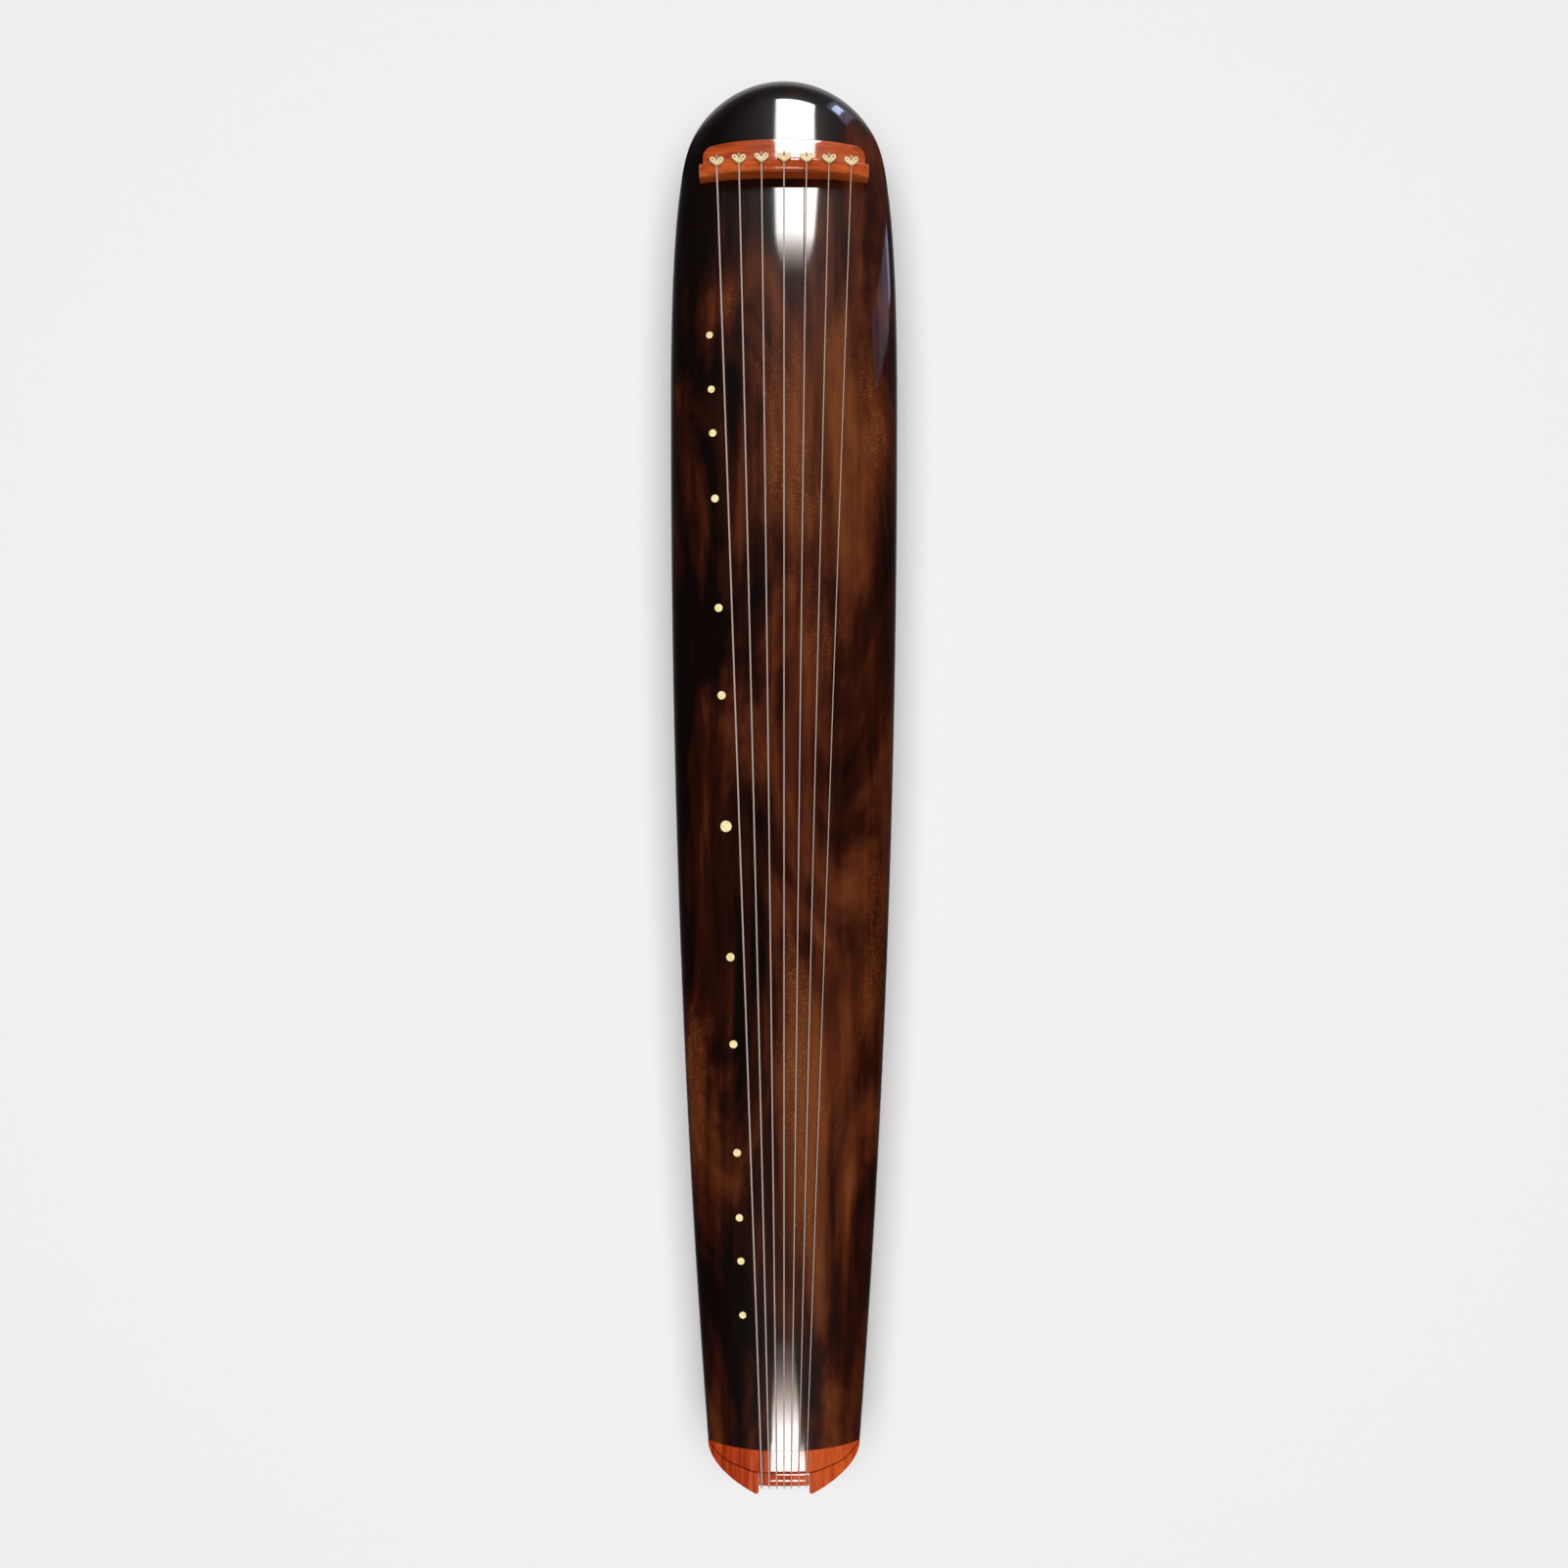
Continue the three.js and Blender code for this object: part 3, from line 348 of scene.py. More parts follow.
class Shader(Nodes):
    """A material made of nodes: the shader, and what drives it"""

    def __init__(self, name, **values):
        self.material = bpy.data.materials.new(name)
        self.material.use_nodes = True
        super().__init__(self.material.node_tree)
        self.shader = self.tree.nodes["Principled BSDF"]
        self.set(**values)
        self.place = self.node("TexCoord", {}, "Object")

    def set(self, **values):
        """Sets or links the shader's sockets, named in lower case with underscores"""
        for name, value in values.items():
            socket = next(s for s in self.shader.inputs if s.name.lower().replace(" ", "_") == name)
            self.join(socket, value)

    def part(self, vector, axis):
        return self.node("SeparateXYZ", {"Vector": vector}, axis)

    def stretched(self, scale):
        """Object places scaled so that a pattern has that many features a metre each way"""
        return self.node("Mapping", {"Vector": self.place, "Scale": scale})

    def noise(self, scale, detail, roughness, distortion=0.0):
        inputs = {"Vector": self.stretched(scale), "Scale": 1.0, "Detail": detail, "Roughness": roughness}
        return self.node("TexNoise", {**inputs, "Distortion": distortion})

    def cells(self, scale, feature="F1"):
        return self.node("TexVoronoi", {"Vector": self.stretched(scale), "Scale": 1.0}, feature=feature)

    def math(self, operation, a, b=0.0):
        return self.node("Math", {0: a, 1: b}, operation=operation)

    def plus(self, a, b, factor=1.0):
        """The first value and the second times a factor"""
        return self.node("Math", {0: b, 1: factor, 2: a}, operation="MULTIPLY_ADD")

    def blend(self, a, b, share):
        """A share of the first value and the rest of the second"""
        return self.plus(self.math("MULTIPLY", a, share), b, 1 - share)

    def mix(self, share, a, b):
        return self.node("Mix", {0: share, 6: a, 7: b}, 2, data_type="RGBA")

    def bump(self, height, strength, distance):
        """Relief; distance is in millimetres"""
        inputs = {"Height": height, "Strength": strength, "Distance": distance * MM}
        self.set(normal=self.node("Bump", inputs))


# Materials

BLACK_LACQUER = (0.0028, 0.0008, 0.0004)
RED_LACQUER = (0.024, 0.0034, 0.0009)
BROWN_LACQUER = (0.078, 0.0155, 0.0032)
AMBER_LACQUER = (0.155, 0.041, 0.0085)
GOLD_SPECK = (0.5, 0.22, 0.05)


def make_lacquer():
    """Lacquer worn through in long soft patches, with gold grit, under a gloss; painted shade darkens its steep edges
    and the faces that look sideways or down
    """
    s = Shader("lacquer", roughness=0.4, specular_ior_level=0.08, coat_weight=1.0, coat_roughness=0.06, coat_ior=1.5)
    across, along = s.part(s.place, "X"), s.part(s.place, "Y")
    facing = s.part(s.node("NewGeometry", {}, "Normal"), "Z")
    slant = s.math("MULTIPLY", along, s.plus(-0.05, across, 1.6))
    side = s.ramp(s.plus(0.5, across, 5.0), [(0.1, 0.12), (0.3, 0.45), (0.43, 0.9), (0.6, 1.0), (0.9, 0.8)])
    ends = s.ramp(s.math("ABSOLUTE", along), [(0.3, 0.0), (0.42, 0.4), (0.58, 1.0)])
    # painted shade: faces that look sideways or down are made darker by their normal
    below = s.ramp(facing, [(0.0, 1.0), (0.2, 0.0)])
    patches, streaks = s.noise((13, 4.2, 13), 5, 0.58, 0.7), s.noise((64, 5.5, 64), 3, 0.55, 0.3)
    wear_and_painted_shade = s.plus(s.blend(patches, streaks, 0.72), slant)
    # adds the tones across and along the body, and the painted shade on faces that look sideways or down
    for darkening, weight in ((side, 0.085), (ends, -0.085), (below, -0.085)):
        wear_and_painted_shade = s.plus(wear_and_painted_shade, darkening, weight)
    colour = s.ramp(wear_and_painted_shade, [
        (0.45, BLACK_LACQUER), (0.525, RED_LACQUER), (0.6, BROWN_LACQUER), (0.69, AMBER_LACQUER),
    ])
    specks = s.ramp(s.cells((700, 500, 700)), [(0.12, 1.0), (0.27, 0.0)])
    strewn = s.ramp(s.noise((22, 9, 22), 2, 0.5), [(0.44, 0.0), (0.62, 1.0)])
    where = s.math("MULTIPLY", s.ramp(wear_and_painted_shade, [(0.51, 0.0), (0.63, 0.7)]), strewn)
    colour = s.mix(s.math("MULTIPLY", specks, where), colour, GOLD_SPECK)
    # painted shade: steep faces are blended towards black lacquer by their normal
    edge = s.ramp(s.math("ABSOLUTE", facing), [(0.74, 0.9), (0.95, 0.0)])
    s.set(base_color=s.mix(edge, colour, BLACK_LACQUER))
    s.bump(s.noise((18, 6, 18), 2, 0.5), 0.1, 0.5)
    return s.material


def make_wood(name, dark, middle, light, roughness, coat, grain_scale=1.0, across=False):
    """Wood with long growth lines, fine pores and a slow change of tone; the grain runs along or across"""
    s = Shader(name, roughness=roughness, specular_ior_level=0.1, coat_weight=coat, coat_roughness=0.06)

    def grained(fine, coarse):
        return (coarse, fine, fine) if across else (fine, coarse, fine)

    wander = s.noise(grained(14 * grain_scale, 5), 2, 0.5)
    lines = s.noise(grained(260 * grain_scale, 9), 3, 0.65, 0.25)
    pores = s.noise(grained(1500, 60), 2, 0.6)
    colour = s.ramp(s.blend(lines, wander, 0.6), [(0.36, dark), (0.5, middle), (0.64, light)])
    s.set(base_color=s.mix(s.ramp(pores, [(0.3, 0.55), (0.44, 0.0)]), colour, dark))
    s.bump(pores, 0.1, 0.12)
    return s.material


def make_silk(name, dark, light, roughness, fibre=1800.0, sheen=0.25):
    """Lustrous thread with fine fibres along it"""
    s = Shader(name, roughness=roughness, sheen_weight=sheen, sheen_roughness=0.4)
    fibres = s.noise((fibre, fibre / 22, fibre), 3, 0.6)
    tone = s.noise((60, 12, 60), 2, 0.5)
    s.set(base_color=s.ramp(s.blend(fibres, tone, 0.7), [(0.34, dark), (0.62, light)]))
    s.bump(fibres, 0.35, 0.15)
    return s.material


def make_wire():
    """Steel-cored string wound with fine silk or nylon"""
    s = Shader("string", roughness=0.36, specular_ior_level=0.6)
    inputs = {"Vector": s.place, "Scale": 900.0, "Distortion": 0.6, "Detail": 1.0}
    wound = s.node("TexWave", inputs, 1, bands_direction="Y")
    s.set(base_color=s.ramp(wound, [(0.0, (0.34, 0.25, 0.22)), (1.0, (0.6, 0.48, 0.42))]))
    s.bump(wound, 0.25, 0.06)
    return s.material


def make_shell():
    s = Shader("shell", roughness=0.28, coat_weight=0.4, coat_roughness=0.1)
    cloud = s.noise((260, 420, 260), 3, 0.55, 1.2)
    s.set(base_color=s.ramp(cloud, [(0.35, (0.78, 0.62, 0.24)), (0.5, (0.9, 0.77, 0.36)), (0.66, (0.95, 0.88, 0.55))]))
    return s.material


def make_turquoise():
    """Blue-green stone with darker veins"""
    s = Shader("turquoise", roughness=0.25, coat_weight=0.5, coat_roughness=0.08)
    cloud = s.noise((150, 150, 150), 3, 0.5)
    veins = s.ramp(s.cells((190, 190, 190), "DISTANCE_TO_EDGE"), [(0.0, 0.7), (0.06, 0.0)])
    colour = s.ramp(cloud, [(0.38, (0.015, 0.14, 0.105)), (0.6, (0.06, 0.33, 0.25))])
    s.set(base_color=s.mix(veins, colour, (0.02, 0.05, 0.035)))
    return s.material


def make_bead_wood():
    s = Shader("bead_wood", roughness=0.22, coat_weight=0.9, coat_roughness=0.05)
    rings = s.noise((90, 320, 90), 3, 0.6, 0.5)
    s.set(base_color=s.ramp(rings, [(0.38, (0.022, 0.009, 0.005)), (0.62, (0.1, 0.042, 0.02))]))
    return s.material


LACQUER = make_lacquer()
BARE_WOOD = make_wood("bare_wood", (0.5, 0.3, 0.12), (0.72, 0.52, 0.25), (0.84, 0.67, 0.37), 0.6, 0.0, 0.6)
ROSEWOOD = make_wood("rosewood", (0.17, 0.013, 0.002), (0.41, 0.042, 0.006), (0.6, 0.1, 0.017), 0.4, 1.0, 0.7)
CROSS_ROSEWOOD = make_wood(
    "cross_rosewood", (0.24, 0.028, 0.004), (0.48, 0.074, 0.0105), (0.62, 0.145, 0.026), 0.4, 1.0, 0.7, across=True,
)
DARK_WOOD = make_wood("dark_wood", (0.05, 0.01, 0.007), (0.15, 0.026, 0.015), (0.25, 0.05, 0.026), 0.25, 0.9)
PEG_WOOD = make_wood("peg_wood", (0.12, 0.014, 0.006), (0.29, 0.036, 0.012), (0.42, 0.07, 0.025), 0.3, 0.9)
SHELL = make_shell()
WIRE = make_wire()
SILK_CORD = make_silk("silk_cord", (0.34, 0.25, 0.2), (0.74, 0.63, 0.55), 0.55)
KNOT_SILK = make_silk("knot_silk", (0.66, 0.48, 0.22), (0.92, 0.8, 0.5), 0.45)
SKIRT_SILK = make_silk("skirt_silk", (0.36, 0.08, 0.007), (0.8, 0.29, 0.03), 0.3, 2600.0, 0.4)
BEAD_WOOD = make_bead_wood()
TURQUOISE = make_turquoise()


# Shape of the body


def cubic(points, t):
    a, b, c, d = (Vector(point) for point in points)
    s = 1 - t
    return a * s**3 + b * 3 * s**2 * t + c * 3 * s * t**2 + d * t**3


ARC_END_STATION = HEAD_RADIUS * (1 - math.cos(HEAD_ARC_ANGLE))
ARC_END_HALF_WIDTH = HEAD_RADIUS * math.sin(HEAD_ARC_ANGLE)
ARC_END_SLOPE = 1 / math.tan(HEAD_ARC_ANGLE)
NECK_CURVE = (
    (ARC_END_STATION, ARC_END_HALF_WIDTH),
    (ARC_END_STATION + NECK_HANDLE, ARC_END_HALF_WIDTH + NECK_HANDLE * ARC_END_SLOPE),
    (SHOULDER_STATION - SHOULDER_HANDLE, SHOULDER_HALF_WIDTH),
    (SHOULDER_STATION, SHOULDER_HALF_WIDTH),
)


def neck_half_width_at(station):
    halvings = 24
    low, high = 0.0, 1.0
    for _ in range(halvings):
        middle = (low + high) / 2
        if cubic(NECK_CURVE, middle).x < station:
            low = middle
        else:
            high = middle
    return cubic(NECK_CURVE, low).y


def half_width_at(station):
    if station <= ARC_END_STATION:
        return math.sqrt(HEAD_RADIUS**2 - (HEAD_RADIUS - station) ** 2)
    if station < SHOULDER_STATION:
        return neck_half_width_at(station)
    share = (station - SHOULDER_STATION) / (BODY_LENGTH - SHOULDER_STATION)
    return SHOULDER_HALF_WIDTH - (SHOULDER_HALF_WIDTH - TAIL_HALF_WIDTH) * share**TAPER_POWER


def thickness_at(station, full, at_head, at_tail):
    """A thickness that is full at the shoulder and falls towards the head and the tail"""
    if station < SHOULDER_STATION:
        share = (SHOULDER_STATION - station) / (SHOULDER_STATION - HEAD_RADIUS)
        return full - (full - at_head) * share**2
    share = min((station - SHOULDER_STATION) / (BODY_LENGTH - SHOULDER_STATION), 1)
    return full - (full - at_tail) * share**THICKNESS_POWER


def fan_angle_at(x, station):
    """The head fans out from its centre: 0 towards its tip, a right angle straight across"""
    return math.atan2(abs(x), max(HEAD_RADIUS - station, 0))


def edge_share_at(x, station):
    """How far out a point is: 0 on the middle line, 1 on the edge"""
    if station >= HEAD_RADIUS:
        return abs(x) / half_width_at(min(station, BODY_LENGTH))
    turn = max(fan_angle_at(x, station) - HEAD_ARC_ANGLE, 0) / (math.pi / 2 - HEAD_ARC_ANGLE)
    return math.hypot(x, HEAD_RADIUS - station) / lerp(HEAD_RADIUS, half_width_at(HEAD_RADIUS), turn)


def face_at(x, station):
    """Height of the playing face: an arch across, which falls off at the brow round the head's tip"""
    along = min(max(station, HEAD_RADIUS), BODY_LENGTH)
    rim = thickness_at(along, RIM_THICKNESS, HEAD_RIM_THICKNESS, TAIL_RIM_THICKNESS)
    middle = thickness_at(along, SHOULDER_THICKNESS, HEAD_THICKNESS, TAIL_THICKNESS)
    arch = (1 - min(abs(x) / half_width_at(along), 1) ** CROWN_POWER) ** CROWN_FALL_POWER
    outward = min(edge_share_at(x, station), 1) ** BROW_POWER
    turn = fan_angle_at(x, station) / (math.pi / 2) if station < HEAD_RADIUS else 1
    brow = (1 - outward * (1 - turn**BROW_TURN_POWER)) ** CROWN_FALL_POWER
    return BACK_HEIGHT + rim + (middle - rim) * arch * brow


def on_face(x, station, lift=0.0):
    return at(x, station, face_at(x, station) + lift)


def arc(x, station, radius, start, end, steps):
    """Plan places on an arc; angles run from +X towards the head"""
    turns = [polar(radius, math.radians(angle)) for angle in spread(start, end, steps)]
    return [(x + across, station - ahead) for across, ahead in turns]


def half_outline():
    """Half of the plan outline, from the tip of the head to the end of the tail"""
    arc_steps, neck_steps, body_steps = 36, 20, 60
    head = [polar(HEAD_RADIUS, angle) for angle in spread(0, HEAD_ARC_ANGLE, arc_steps)]
    neck = [cubic(NECK_CURVE, share) for share in spread(0, 1, neck_steps)[1:]]
    body = spread(SHOULDER_STATION, BODY_LENGTH, body_steps)[1:]
    points = [(x, HEAD_RADIUS - back) for back, x in head]
    points += [(place.y, place.x) for place in neck]
    return points + [(half_width_at(station), station) for station in body]


def mirrored(outline):
    return [(-x, station) for x, station in outline]


def body_piece(name, levels):
    """A closed skin over the whole plan; a level is a share of the way out and a height there"""
    right = half_outline()
    outline = right + mirrored(reversed(right[1:]))
    count = len(outline)
    points, faces = [], []
    for share, height in levels:
        for x, station in outline:
            place = lerp(max(station, HEAD_RADIUS), station, share)
            points.append(at(x * share, place, height(x * share, place)))
    for level in range(len(levels) - 1):
        faces += band(level * count, (level + 1) * count, count)
    return mesh_piece(name, points, faces)


def level_at(height):
    return lambda x, station: height


def face_piece(name, floor, rise):
    """The playing face, raised by a given amount, over a flat floor"""
    rings = 26
    shares = [math.sin(turn) for turn in spread(math.pi / 2, 0, rings)]
    levels = [(0, level_at(floor)), (1, level_at(floor))]
    levels += [(share, lambda x, station: face_at(x, station) + rise) for share in shares]
    return cut(body_piece(name, levels), tail_corners())


def box_plan(half, head, tail, middle=0):
    return [(middle - half, head), (middle + half, head), (middle + half, tail), (middle - half, tail)]


TAIL_JOINT_STATION = BODY_LENGTH - 41
TAIL_JOINT_BOW = 4
TAIL_SEAT_HEIGHT = 50
CORNER_HANDLE = 17
HORN_HALF_WIDTH = 27.5
HORN_ROUND_LENGTH = 1.6
HORN_ROUND_WIDTH = 3.2
HORN_HANDLE = 16
PAST_END = BODY_LENGTH + OVERRUN


def tail_corners():
    """What the two rounded tail corners take off"""
    start_x = half_width_at(TAIL_JOINT_STATION)
    end_station = BODY_LENGTH - HORN_ROUND_LENGTH
    curve = (
        (start_x, TAIL_JOINT_STATION),
        (start_x, TAIL_JOINT_STATION + CORNER_HANDLE),
        (HORN_HALF_WIDTH + HORN_HANDLE, end_station - HORN_HANDLE / 2),
        (HORN_HALF_WIDTH, end_station),
    )
    outside, tip = SHOULDER_HALF_WIDTH, HORN_HALF_WIDTH - HORN_ROUND_WIDTH
    right = [tuple(cubic(curve, share)) for share in spread(0, 1, 28)]
    right += [(tip, BODY_LENGTH), (tip, PAST_END), (outside, PAST_END), (outside, TAIL_JOINT_STATION)]
    return [plan_piece("corner", side, 0, CEILING) for side in (right, mirrored(right))]


# Cuts and places that several pieces share

CAVITY_START_STATION = 170
CAVITY_END_STATION = BODY_LENGTH - 107
CAVITY_WALL = 17
FACE_THICKNESS = 11
PAD_THICKNESS = 5
PAD_MARGIN = 12
# Each sound hole's station, length and width
HOLES = (0.30286 * BODY_LENGTH, 0.16041 * BODY_LENGTH, 29.5), (0.75388 * BODY_LENGTH, 0.09265 * BODY_LENGTH, 27)
FOOT_STATION = 0.7098 * BODY_LENGTH
FOOT_OFFSET = half_width_at(FOOT_STATION) - 28.5
FOOT_BLOCK_HALF_WIDTH = 18
TROUGH_STATION = 66
TROUGH_END_STATION = TROUGH_STATION + 27
TROUGH_HALF_WIDTH = 72
TROUGH_DEPTH = 14
TROUGH_CORNER_RADIUS = 9
PEG_STATION = 79.5
PEG_LENGTH = 39
PEG_RADIUS = 8
CORD_HOLE_RADIUS = 2.4

STRING_COUNT = 7
STRING_RADII = [(1.4 - 0.1 * index) / 2 for index in range(STRING_COUNT)]
FROM_MIDDLE = [index - (STRING_COUNT - 1) / 2 for index in range(STRING_COUNT)]
PEG_OFFSETS = [19 * place for place in FROM_MIDDLE]
NUT_OFFSETS = [6.4 * place for place in FROM_MIDDLE]


def slot_outline(hole, margin):
    """A long hole with round ends"""
    station, length, width = hole
    radius = width / 2
    head, tail = station + radius, station + length - radius
    return arc(0, head, radius + margin, 0, 180, 24) + arc(0, tail, radius + margin, 180, 360, 24)


def trough_piece():
    head = TROUGH_STATION + TROUGH_CORNER_RADIUS
    inner = TROUGH_HALF_WIDTH - TROUGH_CORNER_RADIUS
    outline = [(-TROUGH_HALF_WIDTH, TROUGH_END_STATION), (TROUGH_HALF_WIDTH, TROUGH_END_STATION)]
    outline += arc(inner, head, TROUGH_CORNER_RADIUS, 0, 90, 10)
    outline += arc(-inner, head, TROUGH_CORNER_RADIUS, 90, 180, 10)
    return plan_piece("trough", outline, 0, BACK_HEIGHT + TROUGH_DEPTH)


def cord_hole_pieces():
    low = BACK_HEIGHT + TROUGH_DEPTH - OVERRUN
    outlines = [arc(x, PEG_STATION, CORD_HOLE_RADIUS, 0, 360, 24)[:-1] for x in PEG_OFFSETS]
    return [plan_piece("hole", outline, low, CEILING) for outline in outlines]


def cavity_piece():
    """The sound cavity, less the pads over the sound holes and the blocks over the feet"""
    across_shares = [1, 0.8, 0.55, 0.28, 0, -0.28, -0.55, -0.8, -1]
    low = BACK_TOP - OVERRUN
    rings = []
    for station in spread(CAVITY_START_STATION, CAVITY_END_STATION, 24):
        half = half_width_at(station) - CAVITY_WALL
        roof = [on_face(half * share, station, -FACE_THICKNESS) for share in across_shares]
        rings.append([at(-half, station, low), at(half, station, low), *roof])
    keeps = []
    for hole in HOLES:
        pad_low = face_at(0, hole[0] + hole[1] / 2) - FACE_THICKNESS - PAD_THICKNESS
        keeps.append(plan_piece("pad", slot_outline(hole, PAD_MARGIN), pad_low, CEILING))
    for x in (-FOOT_OFFSET, FOOT_OFFSET):
        half = FOOT_BLOCK_HALF_WIDTH
        keeps.append(plan_piece("block", box_plan(half, FOOT_STATION - half, FOOT_STATION + half, x), 0, CEILING))
    return cut(ring_piece("cavity", rings), keeps)


def tail_joint_line(shift):
    """The line where the lacquered face stops and the tail plate begins"""
    width, start = half_width_at(TAIL_JOINT_STATION), TAIL_JOINT_STATION + shift
    return [(share * width, start + TAIL_JOINT_BOW * (1 - share**2)) for share in spread(-1, 1, 24)]


def tail_seat_piece():
    outside = SHOULDER_HALF_WIDTH
    outline = [(-outside, TAIL_JOINT_STATION), *tail_joint_line(0), (outside, TAIL_JOINT_STATION)]
    return plan_piece("seat", outline + [(outside, PAST_END), (-outside, PAST_END)], TAIL_SEAT_HEIGHT, CEILING)


NUT_HALF_WIDTH = 21.6
NUT_POCKET_HALF_WIDTH = NUT_HALF_WIDTH + SEAT_GAP
NUT_STATION = BODY_LENGTH - 18
NUT_FRONT_STATION = NUT_STATION + 11
NUT_FOOT_LENGTH = 13.5
NUT_RISE = 3.4
NUT_CREST_OFFSET = 4.5
NUT_EDGE_DROP = 3
CROWN_RISE = 1.6
NUT_CREST_STATION = NUT_STATION + NUT_CREST_OFFSET
HORN_TIP_RADIUS = 2.6
GUM_RADIUS = 35
GUM_SLOT_HALF_WIDTH = 16.5
GUM_SLOT_DEPTH = 2
GUM_LIP_LENGTH = 2.2
GUM_NOTCH_DEPTH = 3.6
GUM_END_STATION = BODY_LENGTH - GUM_NOTCH_DEPTH


def nut_pocket_piece():
    return plan_piece("pocket", box_plan(NUT_POCKET_HALF_WIDTH, NUT_STATION - SEAT_GAP, PAST_END), 0, CEILING)


def horn_tip_pieces():
    """What the rounding of the horns' inner tips takes off"""
    x, station = NUT_POCKET_HALF_WIDTH + HORN_TIP_RADIUS, BODY_LENGTH - HORN_TIP_RADIUS
    right = [(NUT_HALF_WIDTH, station), *arc(x, station, HORN_TIP_RADIUS, 180, 270, 10)]
    right += [(x, PAST_END), (NUT_HALF_WIDTH, PAST_END)]
    return [plan_piece("horn_tip", side, BACK_TOP, CEILING) for side in (right, mirrored(right))]


def half_round_piece(radius):
    """The half round in the back at the tail, centred on the end of the body"""
    outline = [(-radius, PAST_END), (radius, PAST_END), *arc(0, BODY_LENGTH, radius, 0, 180, 48)]
    return plan_piece("half_round", outline, 0, CEILING)


# Lacquered boards

# How far outside a cut's plan the middle of one of its faces may lie
SKIN = 0.4


def within(middle, half, start, end):
    """Whether a face's middle lies in or on a cut's plan"""
    return abs(middle.x) < half + SKIN and start - SKIN < HEAD_TIP - middle.y < end + SKIN


def in_trough(middle):
    return within(middle, TROUGH_HALF_WIDTH, TROUGH_STATION, TROUGH_END_STATION)


def lacquer_board(piece, cutters, is_inside, node):
    """Cuts a board and leaves bare the wood of the faces that the rule picks by their middle"""
    dress(cut(piece, cutters), LACQUER, "lacquer", node)
    piece.data.materials.append(BARE_WOOD)
    for face in piece.data.polygons:
        face.material_index = 1 if is_inside(Vector(face.center) / MM) else 0


def top_board():
    cutters = [cavity_piece(), tail_seat_piece(), nut_pocket_piece()]
    cutters += [trough_piece(), *cord_hole_pieces(), *horn_tip_pieces()]

    def is_inside(middle):
        station = HEAD_TIP - middle.y
        half = half_width_at(min(max(station, 0), BODY_LENGTH)) - CAVITY_WALL
        in_cavity = within(middle, half, CAVITY_START_STATION, CAVITY_END_STATION)
        return middle.z < face_at(middle.x, station) - FACE_THICKNESS / 2 and (in_cavity or in_trough(middle))

    lacquer_board(face_piece("lacquered_top", BACK_TOP, 0), cutters, is_inside, "top_board")


def quarter_round(radius, steps):
    """How far back and how far down each point of a rounded edge lies, from the top to the side"""
    turns = spread(0, math.pi / 2, steps)
    return [(radius * (1 - math.sin(turn)), radius * (1 - math.cos(turn))) for turn in turns]


def back_piece(name):
    """The flat back with its rounded lower edge"""
    levels = [(0, level_at(BACK_HEIGHT))]
    for inward, up in quarter_round(BACK_EDGE_RADIUS, 6):
        levels.append((1 - inward / SHOULDER_HALF_WIDTH, level_at(BACK_HEIGHT + up)))
    return body_piece(name, [*levels, (1, level_at(BACK_TOP)), (0, level_at(BACK_TOP))])


def bottom_board():
    cutters = [*tail_corners(), trough_piece(), half_round_piece(GUM_RADIUS + SEAT_GAP)]
    cutters += [plan_piece("hole", slot_outline(hole, 0), 0, CEILING) for hole in HOLES]

    def is_inside(middle):
        if middle.z > BACK_TOP - SKIN / 4:
            return True
        in_hole = any(within(middle, width / 2, start, start + length) for start, length, width in HOLES)
        return middle.z >= BACK_HEIGHT + SKIN / 4 and (in_trough(middle) or in_hole)

    lacquer_board(back_piece("lacquered_back"), cutters, is_inside, "bottom_board")


# Tuning plate and bridge

BRIDGE_STATION = 82.8
BRIDGE_THICKNESS = 10.5
BRIDGE_HALF_LENGTH = 72.5
BRIDGE_HEIGHT = 16
BRIDGE_END_HEIGHT = 13
BRIDGE_END_LENGTH = 1.1
BRIDGE_CREST_OFFSET = 3.5
BRIDGE_SINK = 3
PLATE_STATION = 60
PLATE_HALF_WIDTH = 70
PLATE_BOW = 3
PLATE_CORNER_RADIUS = 8
PLATE_RISE = 1.8
PLATE_SINK = 1.6
PLATE_EDGE_RADIUS = 0.6
PLATE_END_SHARE = 0.005


def plate_head_edge_at(x):
    corner = max(abs(x) - (PLATE_HALF_WIDTH - PLATE_CORNER_RADIUS), 0)
    drop = PLATE_CORNER_RADIUS - math.sqrt(max(PLATE_CORNER_RADIUS**2 - corner**2, 0))
    return PLATE_STATION + PLATE_BOW * (x / PLATE_HALF_WIDTH) ** 2 + drop


def sliced_piece(name, half_length, slices, section):
    """A piece across the body, from the section at each of its slices, which are closer at the ends"""
    turns = spread(-math.pi / 2, math.pi / 2, slices)
    return ring_piece(name, [section(half_length * math.sin(turn)) for turn in turns])


def plate_section(x):
    head, tail = plate_head_edge_at(x), BRIDGE_STATION - SEAT_GAP
    past = max(abs(x) / PLATE_HALF_WIDTH + PLATE_END_SHARE - 1, 0) / PLATE_END_SHARE
    end_drop = PLATE_EDGE_RADIUS * past
    section = [on_face(x, station, -PLATE_SINK) for station in spread(head, tail, 8)]
    for station in spread(tail, head + PLATE_EDGE_RADIUS, 8):
        section.append(on_face(x, station, PLATE_RISE - end_drop))
    for back, down in quarter_round(PLATE_EDGE_RADIUS, 4)[1:]:
        section.append(on_face(x, head + back, PLATE_RISE - max(down, end_drop)))
    return section


def tuning_plate():
    piece = cut(sliced_piece("rosewood_plate", PLATE_HALF_WIDTH, 96, plate_section), cord_hole_pieces())
    dress(piece, CROSS_ROSEWOOD, "rosewood", "tuning_plate")


def bridge_top_at(x):
    rise = lerp(BRIDGE_HEIGHT, BRIDGE_END_HEIGHT, (x / BRIDGE_HALF_LENGTH) ** 2)
    return face_at(x, BRIDGE_STATION + BRIDGE_THICKNESS / 2) + rise


